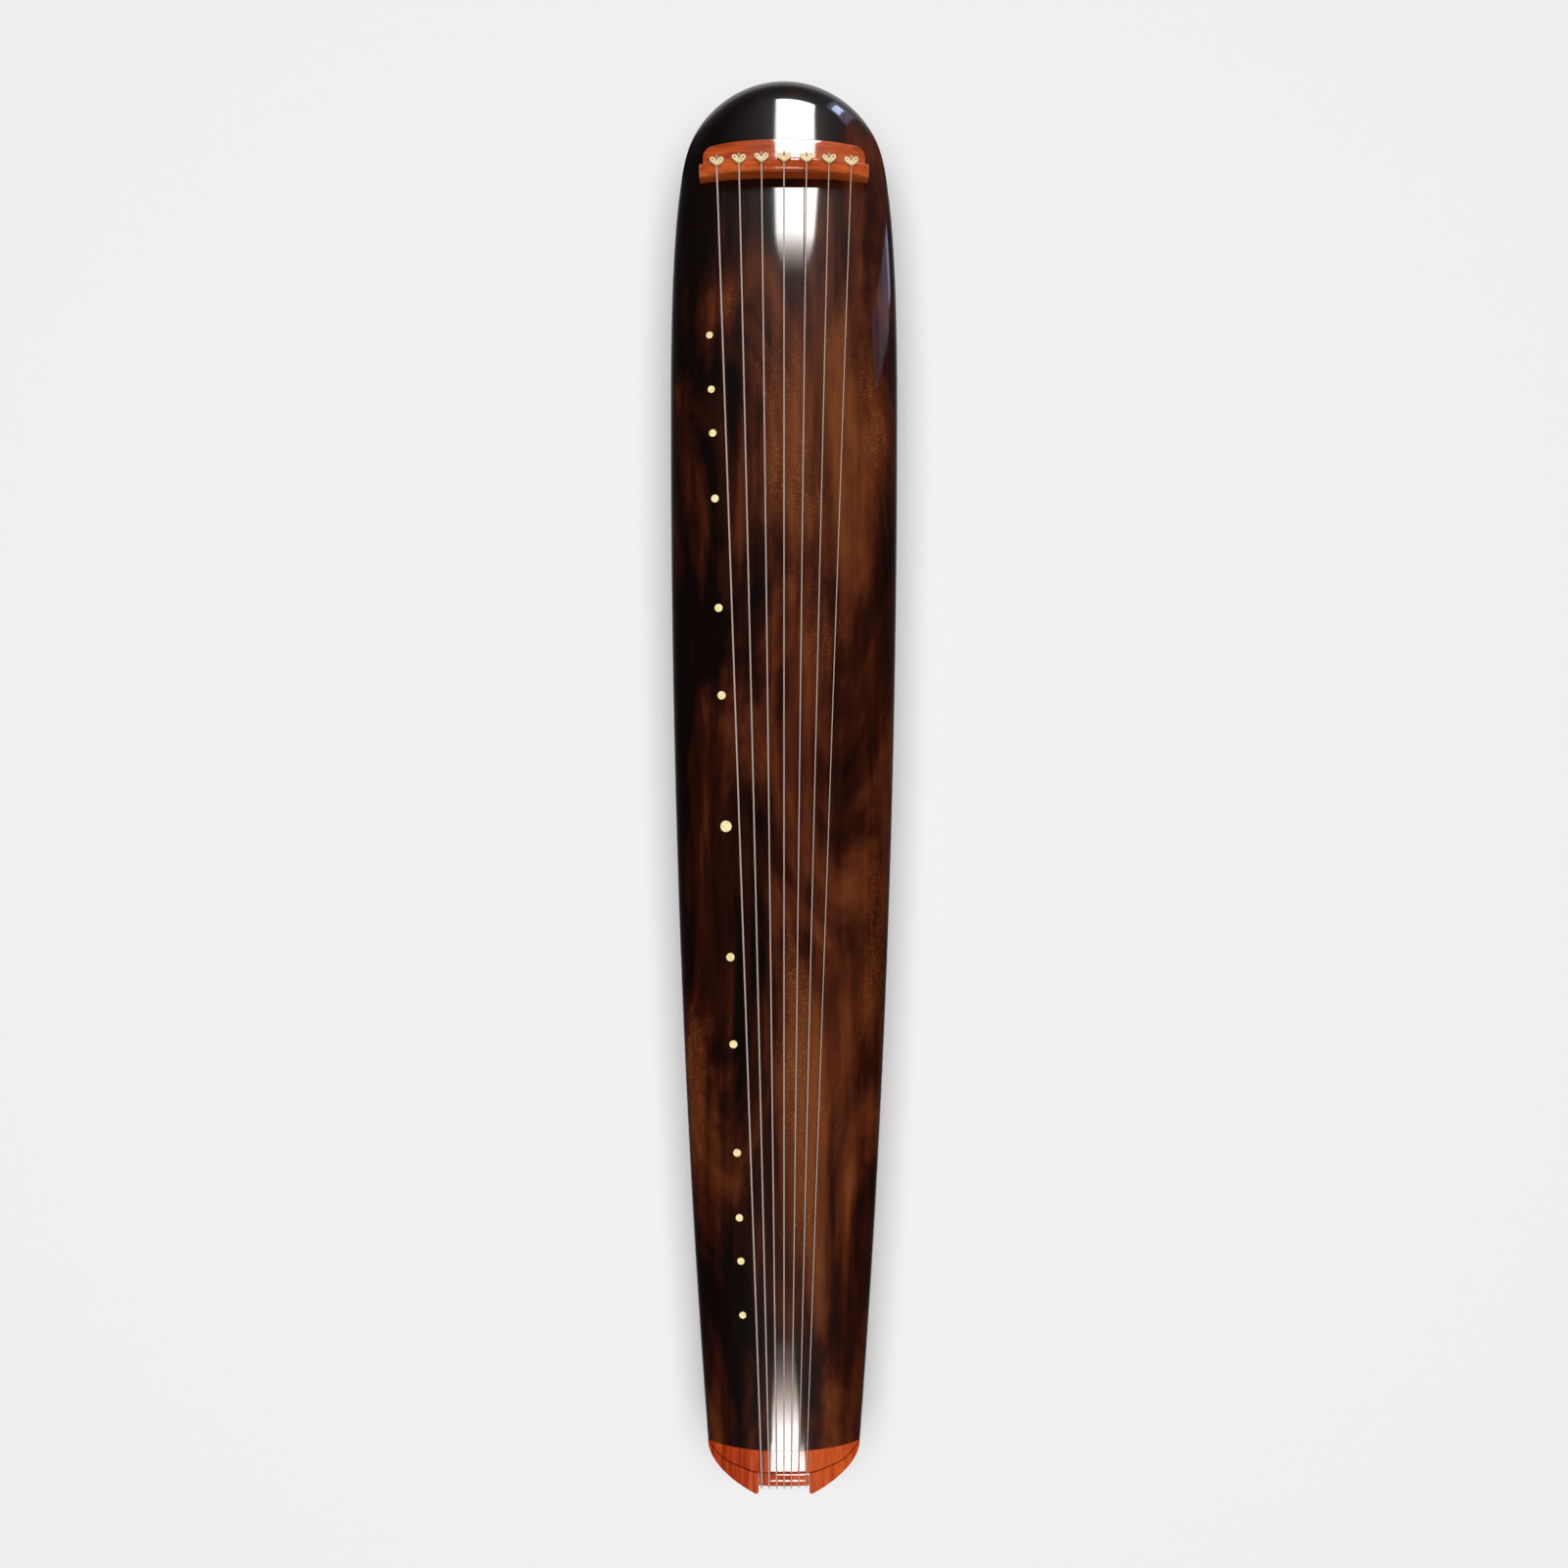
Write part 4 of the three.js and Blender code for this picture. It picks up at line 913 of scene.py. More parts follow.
# Shares of the bridge's thickness and of its height below the crest
BRIDGE_PROFILE = flat_route([(0, 0.16), (0.1, 0.03), (0.33, 0), (0.7, 0.05), (0.92, 0.15), (1, 0.3)], 0.06)


def bridge_section(x):
    past = max(abs(x) - (BRIDGE_HALF_LENGTH - BRIDGE_END_LENGTH), 0) / BRIDGE_END_LENGTH
    top = bridge_top_at(x) - BRIDGE_SINK / 2 * (1 - math.sqrt(max(1 - past**2, 0)))
    foot = face_at(x, BRIDGE_STATION + BRIDGE_THICKNESS / 2) - BRIDGE_SINK
    section = [at(x, BRIDGE_STATION + BRIDGE_THICKNESS, foot), at(x, BRIDGE_STATION, foot)]
    for across, drop in BRIDGE_PROFILE:
        station = BRIDGE_STATION + min(max(across, 0), 1) * BRIDGE_THICKNESS
        section.append(at(x, station, top - max(drop, 0) * BRIDGE_HEIGHT))
    return section


def bridge():
    piece = sliced_piece("rosewood_bridge", BRIDGE_HALF_LENGTH, 120, bridge_section)
    dress(piece, CROSS_ROSEWOOD, "rosewood", "bridge")


# Tail: inner plate with its nut, crown corners and gum support


def crown_seam(side, shift):
    """The seam between the inner tail plate and a crown corner, from the outside in"""
    seam_shares = [(1, 0.02), (0.81, 0.41), (0.63, 0.64), (0.36, 0.82), (0.12, 0.97), (0, 1)]
    outer = half_width_at(TAIL_JOINT_STATION)
    return flat_route([
        (side * lerp(NUT_POCKET_HALF_WIDTH, outer, across), lerp(TAIL_JOINT_STATION, NUT_STATION, along) + shift)
        for across, along in seam_shares
    ], 2.5)


def nut_top_at(x):
    return face_at(x, NUT_CREST_STATION) + NUT_RISE


STRING_SLOPE = (bridge_top_at(0) - nut_top_at(0)) / (NUT_CREST_STATION - BRIDGE_STATION - BRIDGE_CREST_OFFSET)
BACK_RUN_OFFSETS = [-15.3, -12.8, -10.4, -3.4, 11.1, 13.2, 15.2]


def string_over_nut(index):
    """The stretch of a string over the nut and down the tail to the back"""
    x, under = NUT_OFFSETS[index], BACK_RUN_OFFSETS[index]
    top = nut_top_at(x) + STRING_RADII[index] / 2
    reach = STRING_RADII[index] + SEAT_GAP
    out = GUM_END_STATION + reach
    lip_bend = [polar(reach, angle) for angle in spread(0, math.pi / 2, 6)]
    return [
        at(x, NUT_STATION, top + STRING_SLOPE * NUT_CREST_OFFSET),
        at(x, NUT_CREST_STATION, top),
        at(x, lerp(NUT_CREST_STATION, NUT_FRONT_STATION, 0.6), top - NUT_EDGE_DROP / 8),
        at(x, NUT_FRONT_STATION, top - NUT_EDGE_DROP / 2),
        at(x, NUT_FRONT_STATION + GUM_LIP_LENGTH, top - 2 * NUT_EDGE_DROP),
        at(lerp(x, under, 0.92), out, BACK_TOP + GUM_LIP_LENGTH),
        *(at(under, GUM_END_STATION + past, BACK_HEIGHT - down) for past, down in lip_bend),
        at(under, out - 2 * GUM_LIP_LENGTH, BACK_HEIGHT - reach),
    ]


# Stations over the nut and how much of the edge's drop lies there
NUT_PROFILE = [
    (NUT_STATION, 1 / 2), (lerp(NUT_STATION, NUT_CREST_STATION, 0.3), 1 / 8), (NUT_CREST_STATION, 0),
    (lerp(NUT_CREST_STATION, NUT_FRONT_STATION, 0.6), 1 / 8),
    (lerp(NUT_CREST_STATION, NUT_FRONT_STATION, 0.9), 1 / 2), (NUT_FRONT_STATION, 1),
]


def nut_block():
    rings = []
    for x in spread(-NUT_HALF_WIDTH, NUT_HALF_WIDTH, 12):
        top = nut_top_at(x)
        crest = smooth_route([at(x, station, top - NUT_EDGE_DROP * drop) for station, drop in NUT_PROFILE], 0.8)
        rings.append([at(x, NUT_STATION, BACK_TOP), *crest, at(x, NUT_STATION + NUT_FOOT_LENGTH, BACK_TOP)])
    return ring_piece("nut", rings)


def tail_plate_and_nut():
    nut_head = NUT_STATION + SEAT_GAP
    outline = [*tail_joint_line(SEAT_GAP), *crown_seam(1, -SEAT_GAP)[1:], (NUT_HALF_WIDTH, nut_head)]
    outline += [(-NUT_HALF_WIDTH, nut_head), *reversed(crown_seam(-1, -SEAT_GAP)[1:])]
    plate = plan_piece("rosewood_tail", outline, TAIL_SEAT_HEIGHT, CEILING)
    plate = cut(plate, [face_piece("face", TAIL_SEAT_HEIGHT, 0)], keep_common=True)
    grooves = []
    for index, radius in enumerate(STRING_RADII):
        grooves.append(ring_piece("groove", tube_rings(string_over_nut(index)[:5], radius + SEAT_GAP, 16)))
    nut = cut(nut_block(), grooves)
    dress(join_pieces("rosewood_tail_plate", [plate, nut]), ROSEWOOD, "rosewood", "tail_nut")


def crown(name, side):
    seam, outside = crown_seam(side, 0), side * SHOULDER_HALF_WIDTH
    outline = [(outside, seam[0][1]), *seam, (side * NUT_POCKET_HALF_WIDTH, PAST_END), (outside, PAST_END)]
    piece = plan_piece(f"rosewood_{name}", outline, TAIL_SEAT_HEIGHT, CEILING)
    piece = cut(piece, [face_piece("face", TAIL_SEAT_HEIGHT, CROWN_RISE)], keep_common=True)
    dress(cut(piece, horn_tip_pieces()), ROSEWOOD, "rosewood", name)


def gum_support():
    """The half round that the strings turn under, with its slot and lip"""
    piece = cut(back_piece("rosewood_gum"), [half_round_piece(GUM_RADIUS)], keep_common=True)
    cutters = tail_corners()
    for head, tail, high in [
        (GUM_END_STATION, PAST_END, CEILING),
        (BODY_LENGTH - GUM_RADIUS - OVERRUN, GUM_END_STATION - GUM_LIP_LENGTH, BACK_HEIGHT + GUM_SLOT_DEPTH),
    ]:
        cutters.append(plan_piece("slot", box_plan(GUM_SLOT_HALF_WIDTH, head, tail), 0, high))
    dress(cut(piece, cutters), ROSEWOOD, "rosewood", "gum_support")


# Feet

FOOT_KNOB_HEIGHT = 13
FOOT_KNOB_RADIUS = 15
FOOT_NECK_RADIUS = 6.5
FOOT_DIMPLE_RADIUS = 5
FOOT_DIMPLE_WIDTH = 2.4
FOOT_DIMPLE_DEPTH = 1


def foot_profile():
    """Radius and height from the dimple under the foot, round its knob and up its neck"""
    arch = [polar(1, angle) for angle in spread(0, math.pi, 8)]
    dimple = [(FOOT_DIMPLE_RADIUS - FOOT_DIMPLE_WIDTH / 2 * out, FOOT_DIMPLE_DEPTH * up) for out, up in arch]
    knob = [(0.78, 0), (0.93, 0.09), (1, 0.32), (1, 0.56), (0.9, 0.82), (0.66, 0.96)]
    knob.append((FOOT_NECK_RADIUS / FOOT_KNOB_RADIUS, 1))
    rounded = [(r, max(z, 0)) for r, z in flat_route(knob, 0.9, (FOOT_KNOB_RADIUS, FOOT_KNOB_HEIGHT))]
    return [*dimple, *rounded, (FOOT_NECK_RADIUS, BACK_HEIGHT - SEAT_GAP)]


def goose_foot(name, x):
    rings = turned_rings(foot_profile(), 56, upright(at(x, FOOT_STATION, 0)))
    dress(ring_piece(f"turned_{name}", rings), DARK_WOOD, "dark_wood", name)


# Pegs

PEG_BORE_RADIUS = 1.9
PEG_CUP_RADIUS = 4.7
PEG_CUP_DEPTH = 6.5
PEG_FOOT = BACK_HEIGHT + TROUGH_DEPTH - SEAT_GAP - PEG_LENGTH
FLUTES = 8
FLUTE_DEPTH = 0.22
FLUTE_START_SHARE = 0.06
FLUTE_LENGTH_SHARE = 0.68


def peg_profile():
    """Radius and height up the outside, then down the bore and its cup"""
    outer = flat_route([
        (0.64, 0), (0.7, 0.008), (0.75, 0.03), (0.755, 0.07), (0.735, 0.16), (0.715, 0.3), (0.7, 0.5),
        (0.712, 0.64), (0.745, 0.75), (0.79, 0.81), (0.87, 0.845), (0.95, 0.87), (0.985, 0.9), (0.98, 0.94),
        (0.93, 0.975), (0.84, 1),
    ], 0.8, (PEG_RADIUS, PEG_LENGTH))
    cup_shares = [(0.42, 1), (0.62, 0.85), (0.8, 0.6), (0.93, 0.3), (1, 0)]
    cup = [(r * PEG_CUP_RADIUS, z * PEG_CUP_DEPTH) for r, z in cup_shares]
    bore = [(PEG_BORE_RADIUS, PEG_LENGTH), (PEG_BORE_RADIUS, PEG_CUP_DEPTH + 1)]
    return [*((r, min(max(z, 0), PEG_LENGTH)) for r, z in outer), *bore, *cup]


def fluted(radius, height, angle):
    """Faint flutes down the shaft, which fade at the tip and below the collar"""
    share = (height / PEG_LENGTH - FLUTE_START_SHARE) / FLUTE_LENGTH_SHARE
    if radius < PEG_CUP_RADIUS + 0.1 or not 0 < share < 1:
        return radius
    return radius - FLUTE_DEPTH * min(1, 6 * math.sin(math.pi * share)) * abs(math.cos(FLUTES / 2 * angle)) ** 3


def peg(index):
    node = f"peg_{index + 1}"
    rings = turned_rings(peg_profile(), 64, upright(at(PEG_OFFSETS[index], PEG_STATION, PEG_FOOT)), fluted)
    dress(ring_piece(f"turned_{node}", rings, 50, closed_path=True), PEG_WOOD, "dark_wood", node, body=node)


# Silk cords from the knots on the bridge down into the pegs

KNOT_HALF_LENGTH = 2.6
KNOT_HALF_HEIGHT = 1.7
KNOT_WIRE_RADIUS = 0.84
WING_ANGLE = math.radians(50)
WING_LENGTH = 7.4
WING_HALF_WIDTH = 2.1
KNOT_STATION = BRIDGE_STATION + KNOT_HALF_LENGTH
CREST_STATION = BRIDGE_STATION + BRIDGE_CREST_OFFSET
CORD_JOINT_HEIGHT = 14


def peg_cord(index):
    x = PEG_OFFSETS[index]
    top = bridge_top_at(x)
    route = smooth_route([
        at(x, PEG_STATION, CORD_JOINT_HEIGHT + SEAT_GAP),
        on_face(x, PEG_STATION),
        at(x, PEG_STATION, lerp(face_at(x, PEG_STATION), top, 0.7)),
        at(x, lerp(PEG_STATION, BRIDGE_STATION, 0.15), top - (BRIDGE_STATION - PEG_STATION) / 4),
        at(x, lerp(PEG_STATION, BRIDGE_STATION, 0.42), top + KNOT_HALF_HEIGHT),
        at(x, BRIDGE_STATION - SEAT_GAP, top + KNOT_HALF_HEIGHT + SEAT_GAP),
    ], 0.6)
    dress(twisted_cord(f"silk_loop_{index + 1}", route), SILK_CORD, "silk_cord", f"peg_cord_{index + 1}")


# Strings

LEFT_FOOT_STRINGS = 4
FOOT_NECK_HEIGHT = 15
WINDING_GAP = 0.45
WINDING_MARGIN = 0.6
WINDING_STEPS = 40
LOOSE_END_LENGTH = 8


def winding_of(index):
    """Where and how a string is wound round its foot: beside its neighbours, turn by turn"""
    on_left = index < LEFT_FOOT_STRINGS
    group = [other for other in range(STRING_COUNT) if (other < LEFT_FOOT_STRINGS) == on_left]
    pitches = [2 * STRING_RADII[other] + WINDING_GAP for other in group]
    lead = sum(pitches)
    above = sum(pitches[:group.index(index)])
    turns = (FOOT_NECK_HEIGHT - 2 * WINDING_MARGIN - lead) / lead
    height = BACK_HEIGHT - SEAT_GAP - WINDING_MARGIN - above - STRING_RADII[index]
    radius = FOOT_NECK_RADIUS + STRING_RADII[index] + SEAT_GAP
    side = -1 if on_left else 1
    return side * FOOT_OFFSET, -side, lead, turns, height, radius


def winding_route(index, start_point):
    """Round the foot from the side where the string reaches it, and out in a short loose end"""
    x, turn, lead, turns, height, radius = winding_of(index)
    centre = at(x, FOOT_STATION, height)
    to_centre = centre - start_point
    heading = math.atan2(to_centre.y, to_centre.x) - turn * math.asin(radius / math.hypot(to_centre.x, to_centre.y))
    start, whole = heading - turn * math.pi / 2, 2 * math.pi * turns
    route = []
    for share in spread(0, 1, round(turns * WINDING_STEPS)):
        route.append(centre + Vector((*polar(radius, start + turn * share * whole), -share * turns * lead)))
    last, out = route[-1], start + turn * (whole + math.pi / 2)
    for share in spread(0, 1, 6)[1:]:
        route.append(last + Vector((*polar(LOOSE_END_LENGTH * share, out + turn * share**2 / 2), 0)))
    return route


def curve_piece(name, routes, radius, resolution=4):
    """Round wires along routes, in one curve object"""
    curve = bpy.data.curves.new(name, "CURVE")
    curve.dimensions = "3D"
    curve.bevel_depth = radius * MM
    curve.bevel_resolution = resolution
    curve.use_fill_caps = True
    for route in routes:
        spline = curve.splines.new("POLY")
        spline.points.add(len(route) - 1)
        for point, place in zip(spline.points, route):
            point.co = (*(place * MM), 1)
        spline.use_smooth = True
    return add_object(name, curve)


def fly_knot(name, x):
    """The bow knot on the bridge: a wrapped neck at the string and two wings that flare to the head"""
    neck = at(x, KNOT_STATION + KNOT_HALF_LENGTH, bridge_top_at(x) + KNOT_HALF_HEIGHT + SEAT_GAP)
    loops = []
    for side in (-1, 1):
        ahead = Vector((side * math.cos(WING_ANGLE), math.sin(WING_ANGLE), 0))
        across = Vector((-ahead.y, ahead.x, 0))
        for share in (1, 0.64, 0.3):
            loop = []
            for turn in spread(0, 2 * math.pi, 28):
                out = (1 - math.cos(turn)) / 2
                swell = WING_HALF_WIDTH * share * math.sin(turn) * (0.35 + 0.65 * out)
                lift = 0.5 * math.sin(math.pi * out) + 0.35 * math.sin(turn)
                loop.append(neck + ahead * WING_LENGTH * share * out + across * swell + Vector((0, 0, lift)))
            loops.append(loop)
    for place in (0.2, 1.3, 2.3):
        wrap = [polar(1, turn) for turn in spread(0, 2 * math.pi, 20)]
        loops.append([neck + Vector(((1 + 0.18 * place) * out, place, 0.8 * up)) for out, up in wrap])
    return curve_piece(name, loops, KNOT_WIRE_RADIUS, 3)


def string(index):
    node = f"string_{index + 1}"
    x, radius = PEG_OFFSETS[index], STRING_RADII[index]
    top = bridge_top_at(x) + radius + SEAT_GAP
    over_bridge = [
        at(x, KNOT_STATION, top + radius),
        at(x, CREST_STATION, top),
        at(x, CREST_STATION + BRIDGE_CREST_OFFSET, top - STRING_SLOPE * BRIDGE_CREST_OFFSET),
    ]
    over_nut = string_over_nut(index)
    route = smooth_route(over_bridge, 0.6) + smooth_route(over_nut, 0.7) + winding_route(index, over_nut[-1])
    dress(curve_piece(f"wound_{node}", [route], radius), WIRE, "string", node)
    dress(fly_knot(f"fly_knot_{index + 1}", x), KNOT_SILK, "silk_cord", node)


def loose_ends():
    """Short curled ends of the strings where they leave their feet, close under the back"""
    left, right, height = -FOOT_OFFSET, FOOT_OFFSET, BACK_HEIGHT - 2
    hooks = [
        (left, [(8, -3, -4), (14, -6, -2.5), (22, -9, -1.5), (31, -11, -1), (35, -9, -0.8)]),
        (left, [(-8, 2, -5), (-13, 0, -4), (-17, -2, -3.2), (-20, -3, -3)]),
        (right, [(-7, -4, -4), (-13, -9, -2.4), (-18, -4, -1.2), (-22, 3, -0.8), (-26, 11, -0.8), (-31, 16, -0.8)]),
        (right, [(-8, 1, -5), (-14, 3, -3), (-19, 9, -1.6), (-25, 6, -0.8), (-22, 0, -0.8), (-16, 2, -1.8)]),
    ]
    routes = []
    for foot, hook in hooks:
        routes.append(smooth_route([at(foot + x, FOOT_STATION + ahead, height + z) for x, ahead, z in hook], 0.8))
    dress(curve_piece("loose_string_ends", routes, 0.4), WIRE, "string")


# Studs

STUD_SHARES = [1 / 8, 1 / 6, 1 / 5, 1 / 4, 1 / 3, 2 / 5, 1 / 2, 3 / 5, 2 / 3, 3 / 4, 4 / 5, 5 / 6, 7 / 8]
MIDDLE_STUD = len(STUD_SHARES) // 2
STUD_OFFSET = 11.7
END_STUD_RADIUS = 3
INNER_STUD_RADIUS = 3.7
MIDDLE_STUD_RADIUS = 4.9
STUD_THICKNESS = 1.6
STUD_PROUD = 0.25
STUD_EDGE_RADIUS = 0.2


def stud(index):
    """A shell disc let into the face, with its axis square to the face and a softened edge"""
    share = STUD_SHARES[index]
    station = lerp(CREST_STATION, NUT_CREST_STATION, share)
    x = lerp(PEG_OFFSETS[0], NUT_OFFSETS[0], share) - STUD_OFFSET
    radius = lerp(INNER_STUD_RADIUS, END_STUD_RADIUS, abs(index - MIDDLE_STUD) / MIDDLE_STUD)
    if index == MIDDLE_STUD:
        radius = MIDDLE_STUD_RADIUS
    slope_x = (face_at(x + radius, station) - face_at(x - radius, station)) / (2 * radius)
    slope_y = (face_at(x, station - radius) - face_at(x, station + radius)) / (2 * radius)
    turn = Vector((0, 0, 1)).rotation_difference(Vector((-slope_x, -slope_y, 1))).to_matrix()
    centre = on_face(x, station)
    profile = [(radius, STUD_PROUD - STUD_THICKNESS), (radius, STUD_PROUD - STUD_EDGE_RADIUS)]
    for back, down in reversed(quarter_round(STUD_EDGE_RADIUS, 4)):
        profile.append((radius - back, STUD_PROUD - down))
    profile += [(radius * inward, STUD_PROUD) for inward in (0.7, 0.4, 0.1)]
    rings = turned_rings(profile, 48, lambda a, b, along: centre + turn @ Vector((a, b, along)))
    dress(ring_piece(f"shell_stud_{index + 1}", rings), SHELL, "shell", f"hui_{index + 1}")


# Tassels: cord, bead, ring and silk skirt on one line

BEAD_RADIUS = 6.5
BEAD_HOLE_ANGLE = math.radians(14)
RING_RADIUS = 8
RING_LENGTH = 7
SKIRT_RADIUS = 7.2
SKIRT_LENGTH = 46
SKIRT_TOP_SHARE = 0.985
SKIRT_FLARE = 1.04
STRANDS = 26
STRAND_DEPTH = 0.32
STRAND_WANDER = 0.35
STRAND_PHASE = 1.7

# Each cord's route from inside its peg: out from the middle, towards the head, up
OUTER_ROUTE = [
    (0, 0, 13.7), (0, 0, 9.4), (0, -0.3, 6.6), (0, -1.3, 4.1), (0, -3, 2.2), (0.2, -5.2, 1.3), (1.4, -7.9, 1.2),
    (4.3, -9.8, 1.2), (7.6, -9.2, 1.2), (9.8, -6.5, 1.2), (10.2, -3, 1.3), (9.1, 0, 2), (7.4, 2.5, 3.5),
    (5.7, 4.6, 5.3), (4.6, 6.4, 6.9), (4.1, 7.9, 7.8), (4, 9.2, 8), (4, 10.4, 8),
]
MIDDLE_ROUTE = [
    (0, 0, 13.7), (0, 0, 9.4), (0, 0.3, 6.6), (0, 1.3, 4.1), (0, 3, 2.2), (0.2, 5.2, 1.3), (0.9, 7.5, 1.3),
    (2, 9.7, 1.8), (3.3, 11.6, 3.1), (4.5, 13.4, 4.9), (5.4, 15.1, 6.5), (5.9, 16.7, 7.6), (6, 18.1, 8),
    (6, 19.3, 8),
]
INNER_ROUTE = [
    (0, 0, 13.7), (0, 0, 9.4), (0, 0.3, 6.6), (0, 1.3, 4.1), (0, 3, 2.2), (0.1, 5.2, 1.3), (0.5, 8, 1.2),
    (1.4, 10.7, 1.3), (2.6, 13.1, 2.2), (3.8, 15.2, 3.7), (4.8, 17.2, 5.5), (5.4, 19.1, 7.1), (5.6, 20.8, 7.9),
    (5.6, 22, 8), (5.6, 23.2, 8),
]
TASSEL_ROUTES = [OUTER_ROUTE, MIDDLE_ROUTE, INNER_ROUTE, INNER_ROUTE, INNER_ROUTE, MIDDLE_ROUTE, OUTER_ROUTE]


def lying_piece(name, profile, start, sides, shape=None, smooth_angle=50):
    """A turned piece that lies along +Y from start"""
    rings = turned_rings(profile, sides, lambda a, b, along: start + Vector((a, along, b)), shape)
    return ring_piece(name, rings, smooth_angle)


def bead(name, start):
    turns = spread(BEAD_HOLE_ANGLE, math.pi - BEAD_HOLE_ANGLE, 24)
    profile = [(BEAD_RADIUS * math.sin(turn), BEAD_RADIUS * (1 - math.cos(turn))) for turn in turns]
    return lying_piece(name, profile, start, 40)


def ring(name, start):
    """A barrel ring with rounded ends, let in round its hole"""
    end = [(0.3, 0.16), (0.5, 0.1), (0.68, 0.02), (0.8, 0), (0.9, 0.06), (0.97, 0.2)]
    shares = [*end, (1, 0.5), *((r, 1 - along) for r, along in reversed(end))]
    outside = flat_route(shares, 0.5, (RING_RADIUS, RING_LENGTH))
    return lying_piece(name, [(min(r, RING_RADIUS), along) for r, along in outside], start, 44)


def skirt(name, start, phase):
    """Silk threads bound at the top: the surface is grooved by strands that wander a little"""
    shares = [(0.62, 0), (0.86, 0.012), (0.94, 0.03), (SKIRT_TOP_SHARE, 0.06)]
    shares += [(lerp(SKIRT_TOP_SHARE, SKIRT_FLARE, along), along) for along in spread(0.06, 1, 40)[1:]]

    def thread(radius, along, angle):
        share = along / SKIRT_LENGTH
        drift = STRAND_WANDER * math.sin(5 * share + 3 * angle + phase)
        groove = abs(math.sin(STRANDS / 2 * angle + drift)) ** 1.5
        fine = 0.25 * abs(math.sin(STRANDS * 1.5 * angle + 2 * drift + phase))
        depth = STRAND_DEPTH * min(1, 0.35 + 6 * share)
        return radius - depth * (1 - groove * (1 - fine))

    profile = [(r * SKIRT_RADIUS, along * SKIRT_LENGTH) for r, along in shares]
    return lying_piece(name, profile, start, 130, thread, 60)


def tassel(index):
    """A free cord out of its peg, on through its bead and ring to the skirt"""
    number, side = index + 1, -1 if index < STRING_COUNT // 2 else 1
    corners = []
    for out, ahead, z in TASSEL_ROUTES[index]:
        corners.append(at(PEG_OFFSETS[index] + side * out, PEG_STATION - ahead, z))
    start = corners[-1] + Vector((0, SEAT_GAP, 0))
    ring_start = start + Vector((0, 2 * BEAD_RADIUS, 0))
    skirt_start = ring_start + Vector((0, RING_LENGTH, 0))
    inside_step = 2.3
    inside = round((skirt_start - corners[-1]).length / inside_step)
    corners += [corners[-1].lerp(skirt_start, i / inside) for i in range(1, inside + 1)]
    route = smooth_route(corners, 0.6)
    cord = twisted_cord(f"tassel_silk_cord_{number}", route)
    pieces = [
        bead(f"bead_{number}", start),
        ring(f"ring_{number}", ring_start),
        skirt(f"silk_skirt_{number}", skirt_start, index * STRAND_PHASE),
    ]
    dress(cord, SILK_CORD, "silk_cord", f"tassel_cord_{number}")
    looks = [(BEAD_WOOD, "bead"), (TURQUOISE, "turquoise"), (SKIRT_SILK, "silk_tassel")]
    for piece, (material, slot) in zip(pieces, looks):
        dress(piece, material, slot, f"tassel_{number}")
    travelled_along(route)[-1] * MM


# Floor, lights and world

HORIZON_COLOUR = (0.62, 0.62, 0.64)
FLOOR_COLOUR = (0.86, 0.86, 0.86)
FLOOR_HALF_WIDTH = 30000


def add_floor():
    """A plain pale floor that fades to the horizon's grey; from below it is clear, and light passes it upward"""
    material = bpy.data.materials.new("floor")
    material.use_nodes = True
    s = Nodes(material.node_tree)
    s.tree.nodes.clear()
    away = s.node("VectorMath", {0: s.node("TexCoord", {}, "Object")}, "Value", operation="LENGTH")
    reach = {"Value": away, "From Min": 2.5, "From Max": 8.0}
    fade = s.node("MapRange", reach, "Result", interpolation_type="SMOOTHSTEP")
    pale = s.node("BsdfDiffuse", {"Color": FLOOR_COLOUR})
    haze = s.node("Emission", {"Color": HORIZON_COLOUR})
    ground = s.node("MixShader", {0: fade, 1: pale, 2: haze})
    from_below = s.node("NewGeometry", {}, "Backfacing")
    is_shadow = s.node("LightPath", {}, "Is Shadow Ray")
    passes = s.node("Math", {0: from_below, 1: is_shadow}, operation="MAXIMUM")
    clear = s.node("BsdfTransparent", {})
    surface = s.tree.nodes.new("ShaderNodeOutputMaterial").inputs["Surface"]
    s.join(surface, s.node("MixShader", {0: passes, 1: ground, 2: clear}))
    material.cycles.emission_sampling = "NONE"
    half = FLOOR_HALF_WIDTH * MM
    mesh = bpy.data.meshes.new("floor")
    mesh.from_pydata([(-half, -half, 0), (half, -half, 0), (half, half, 0), (-half, half, 0)], [], [(0, 1, 2, 3)])
    mesh.materials.append(material)
    add_object("floor", mesh)


def add_softbox(name, place, target, width, length, brightness, colour=(1, 1, 1), mirrored=True):
    """A soft lamp that faces a target; brightness is what it shows in a mirror, where 1 is white"""
    data = bpy.data.lights.new(name, "AREA")
    data.shape = "RECTANGLE"
    data.size, data.size_y = width * MM, length * MM
    data.energy = brightness * math.pi * data.size * data.size_y
    data.color = colour
    lamp = add_object(name, data)
    lamp.visible_camera = False
    lamp.visible_glossy = mirrored
    lamp.visible_diffuse = not mirrored
    lamp.location = Vector(place) * MM
    lamp.rotation_euler = (Vector(target) - Vector(place)).to_track_quat("-Z", "Y").to_euler()


def add_world():
    """Pale at the horizon and dark overhead, as a studio is round a glossy thing"""
    world = bpy.data.worlds.new("studio")
    world.use_nodes = True
    s = Nodes(world.node_tree)
    height = s.node("SeparateXYZ", {0: s.node("TexCoord", {}, "Generated")}, "Z")
    stops = [(0.01, 1), (0.16, 0.2), (0.5, 0.02)]
    sky = s.ramp(height, [(where, tuple(share * part for part in HORIZON_COLOUR)) for where, share in stops])
    s.join(s.tree.nodes["Background"].inputs["Color"], sky)
    bpy.context.scene.world = world


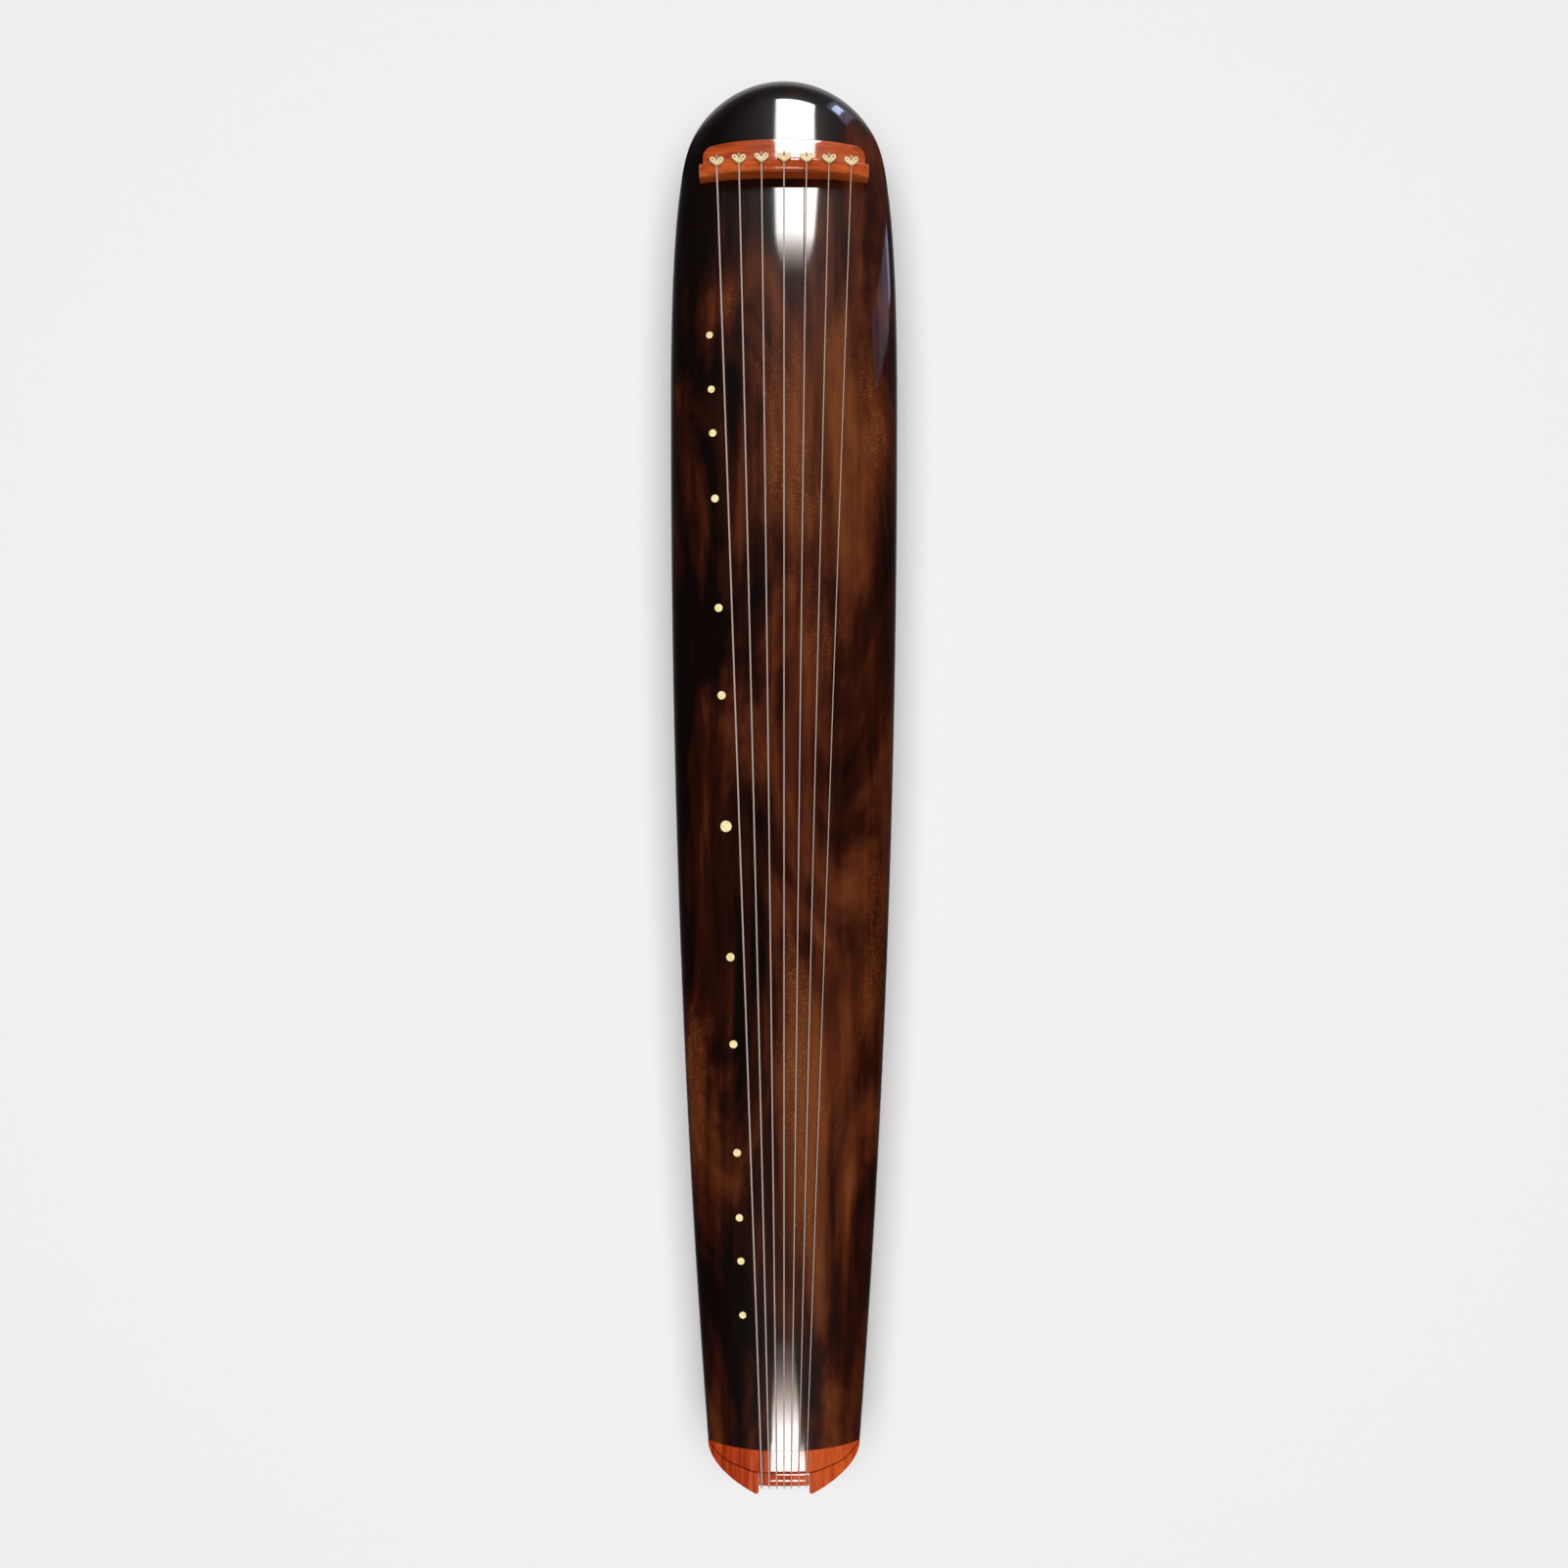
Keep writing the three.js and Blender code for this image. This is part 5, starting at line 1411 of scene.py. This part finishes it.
# A window is its bottom's height and its strips, each with the height of its top, its middle across,
# its width and its brightness, from the bottom strip up
HEAD_WINDOW = 1300, [
    (2545, 158, 500, 26), (2605, 156, 480, 17), (2670, 154, 450, 10), (2745, 152, 410, 5), (2830, 150, 350, 2),
]
TAIL_WINDOW = 1850, [
    (2150, 65, 470, 26), (2290, 28, 365, 26), (2345, 26, 360, 19), (2405, 24, 350, 12.5), (2465, 22, 335, 7.5),
    (2530, 20, 320, 4.5), (2610, 18, 300, 2.6), (2720, 16, 270, 1.3),
]


def add_window(name, y, bottom, strips):
    """A window that stands upright beyond an end; its strips fade and grow warmer to the top"""
    for number, (top, x, width, brightness) in enumerate(strips):
        height = (bottom + top) / 2
        fade = 1 - brightness / strips[0][3]
        colour = (1, lerp(0.985, 0.87, fade), lerp(0.95, 0.76, fade))
        add_softbox(f"{name}_{number + 1}", (x, y, height), (x, 0, height), width, top - bottom, brightness, colour)
        bottom = top


def add_lights():
    """Plain light from above and below, and narrow windows that are seen in the gloss only"""
    middle = (0, 0, 40)
    add_softbox("overhead", (0, 0, 5200), middle, 6400, 6400, 3.1, mirrored=False)
    add_softbox("below", (0, 0, -2000), middle, 2400, 2400, 4.3, mirrored=False)
    add_softbox("below_head", (60, 800, -1500), (0, 560, 20), 120, 700, 36)
    add_softbox("below_tail", (-75, -1300, -1150), (-35, -560, 20), 260, 480, 70, (1, 0.93, 0.9))
    add_window("head_window", 1950, *HEAD_WINDOW)
    add_window("tail_window", -1950, *TAIL_WINDOW)
    cool, head_rim = (0.6, 0.68, 1), (45, 590, 66)
    add_softbox("cool_side", (1500, 1333, 870), (93, 415, 870), 240, 180, 5, cool)
    for number, brightness in enumerate((1.3, 0.9, 0.45)):
        height = 1110 + 300 * number
        add_softbox(f"cool_side_{number + 2}", (1500, 1300, height), (93, 415, height), 310, 300, brightness, cool)
    add_softbox("cool_glint", (900, 2300, 950), head_rim, 150, 620, 14, cool)
    add_softbox("cool_glow", (1000, 2400, 900), head_rim, 420, 1100, 1.5, cool)


# Assembly

top_board()
bottom_board()
tuning_plate()
bridge()
tail_plate_and_nut()
crown("crown_left", -1)
crown("crown_right", 1)
gum_support()
goose_foot("goose_foot_left", -FOOT_OFFSET)
goose_foot("goose_foot_right", FOOT_OFFSET)
for index in range(STRING_COUNT):
    peg(index)
    peg_cord(index)
    string(index)
    tassel(index)
for index in range(len(STUD_SHARES)):
    stud(index)
loose_ends()
for node in ("heaven_post", "earth_post"):
    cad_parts[node].data.materials.clear()
    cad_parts[node].data.materials.append(BARE_WOOD)

add_camera()
add_floor()
add_lights()
add_world()
bpy.context.scene.view_settings.view_transform = "Standard"
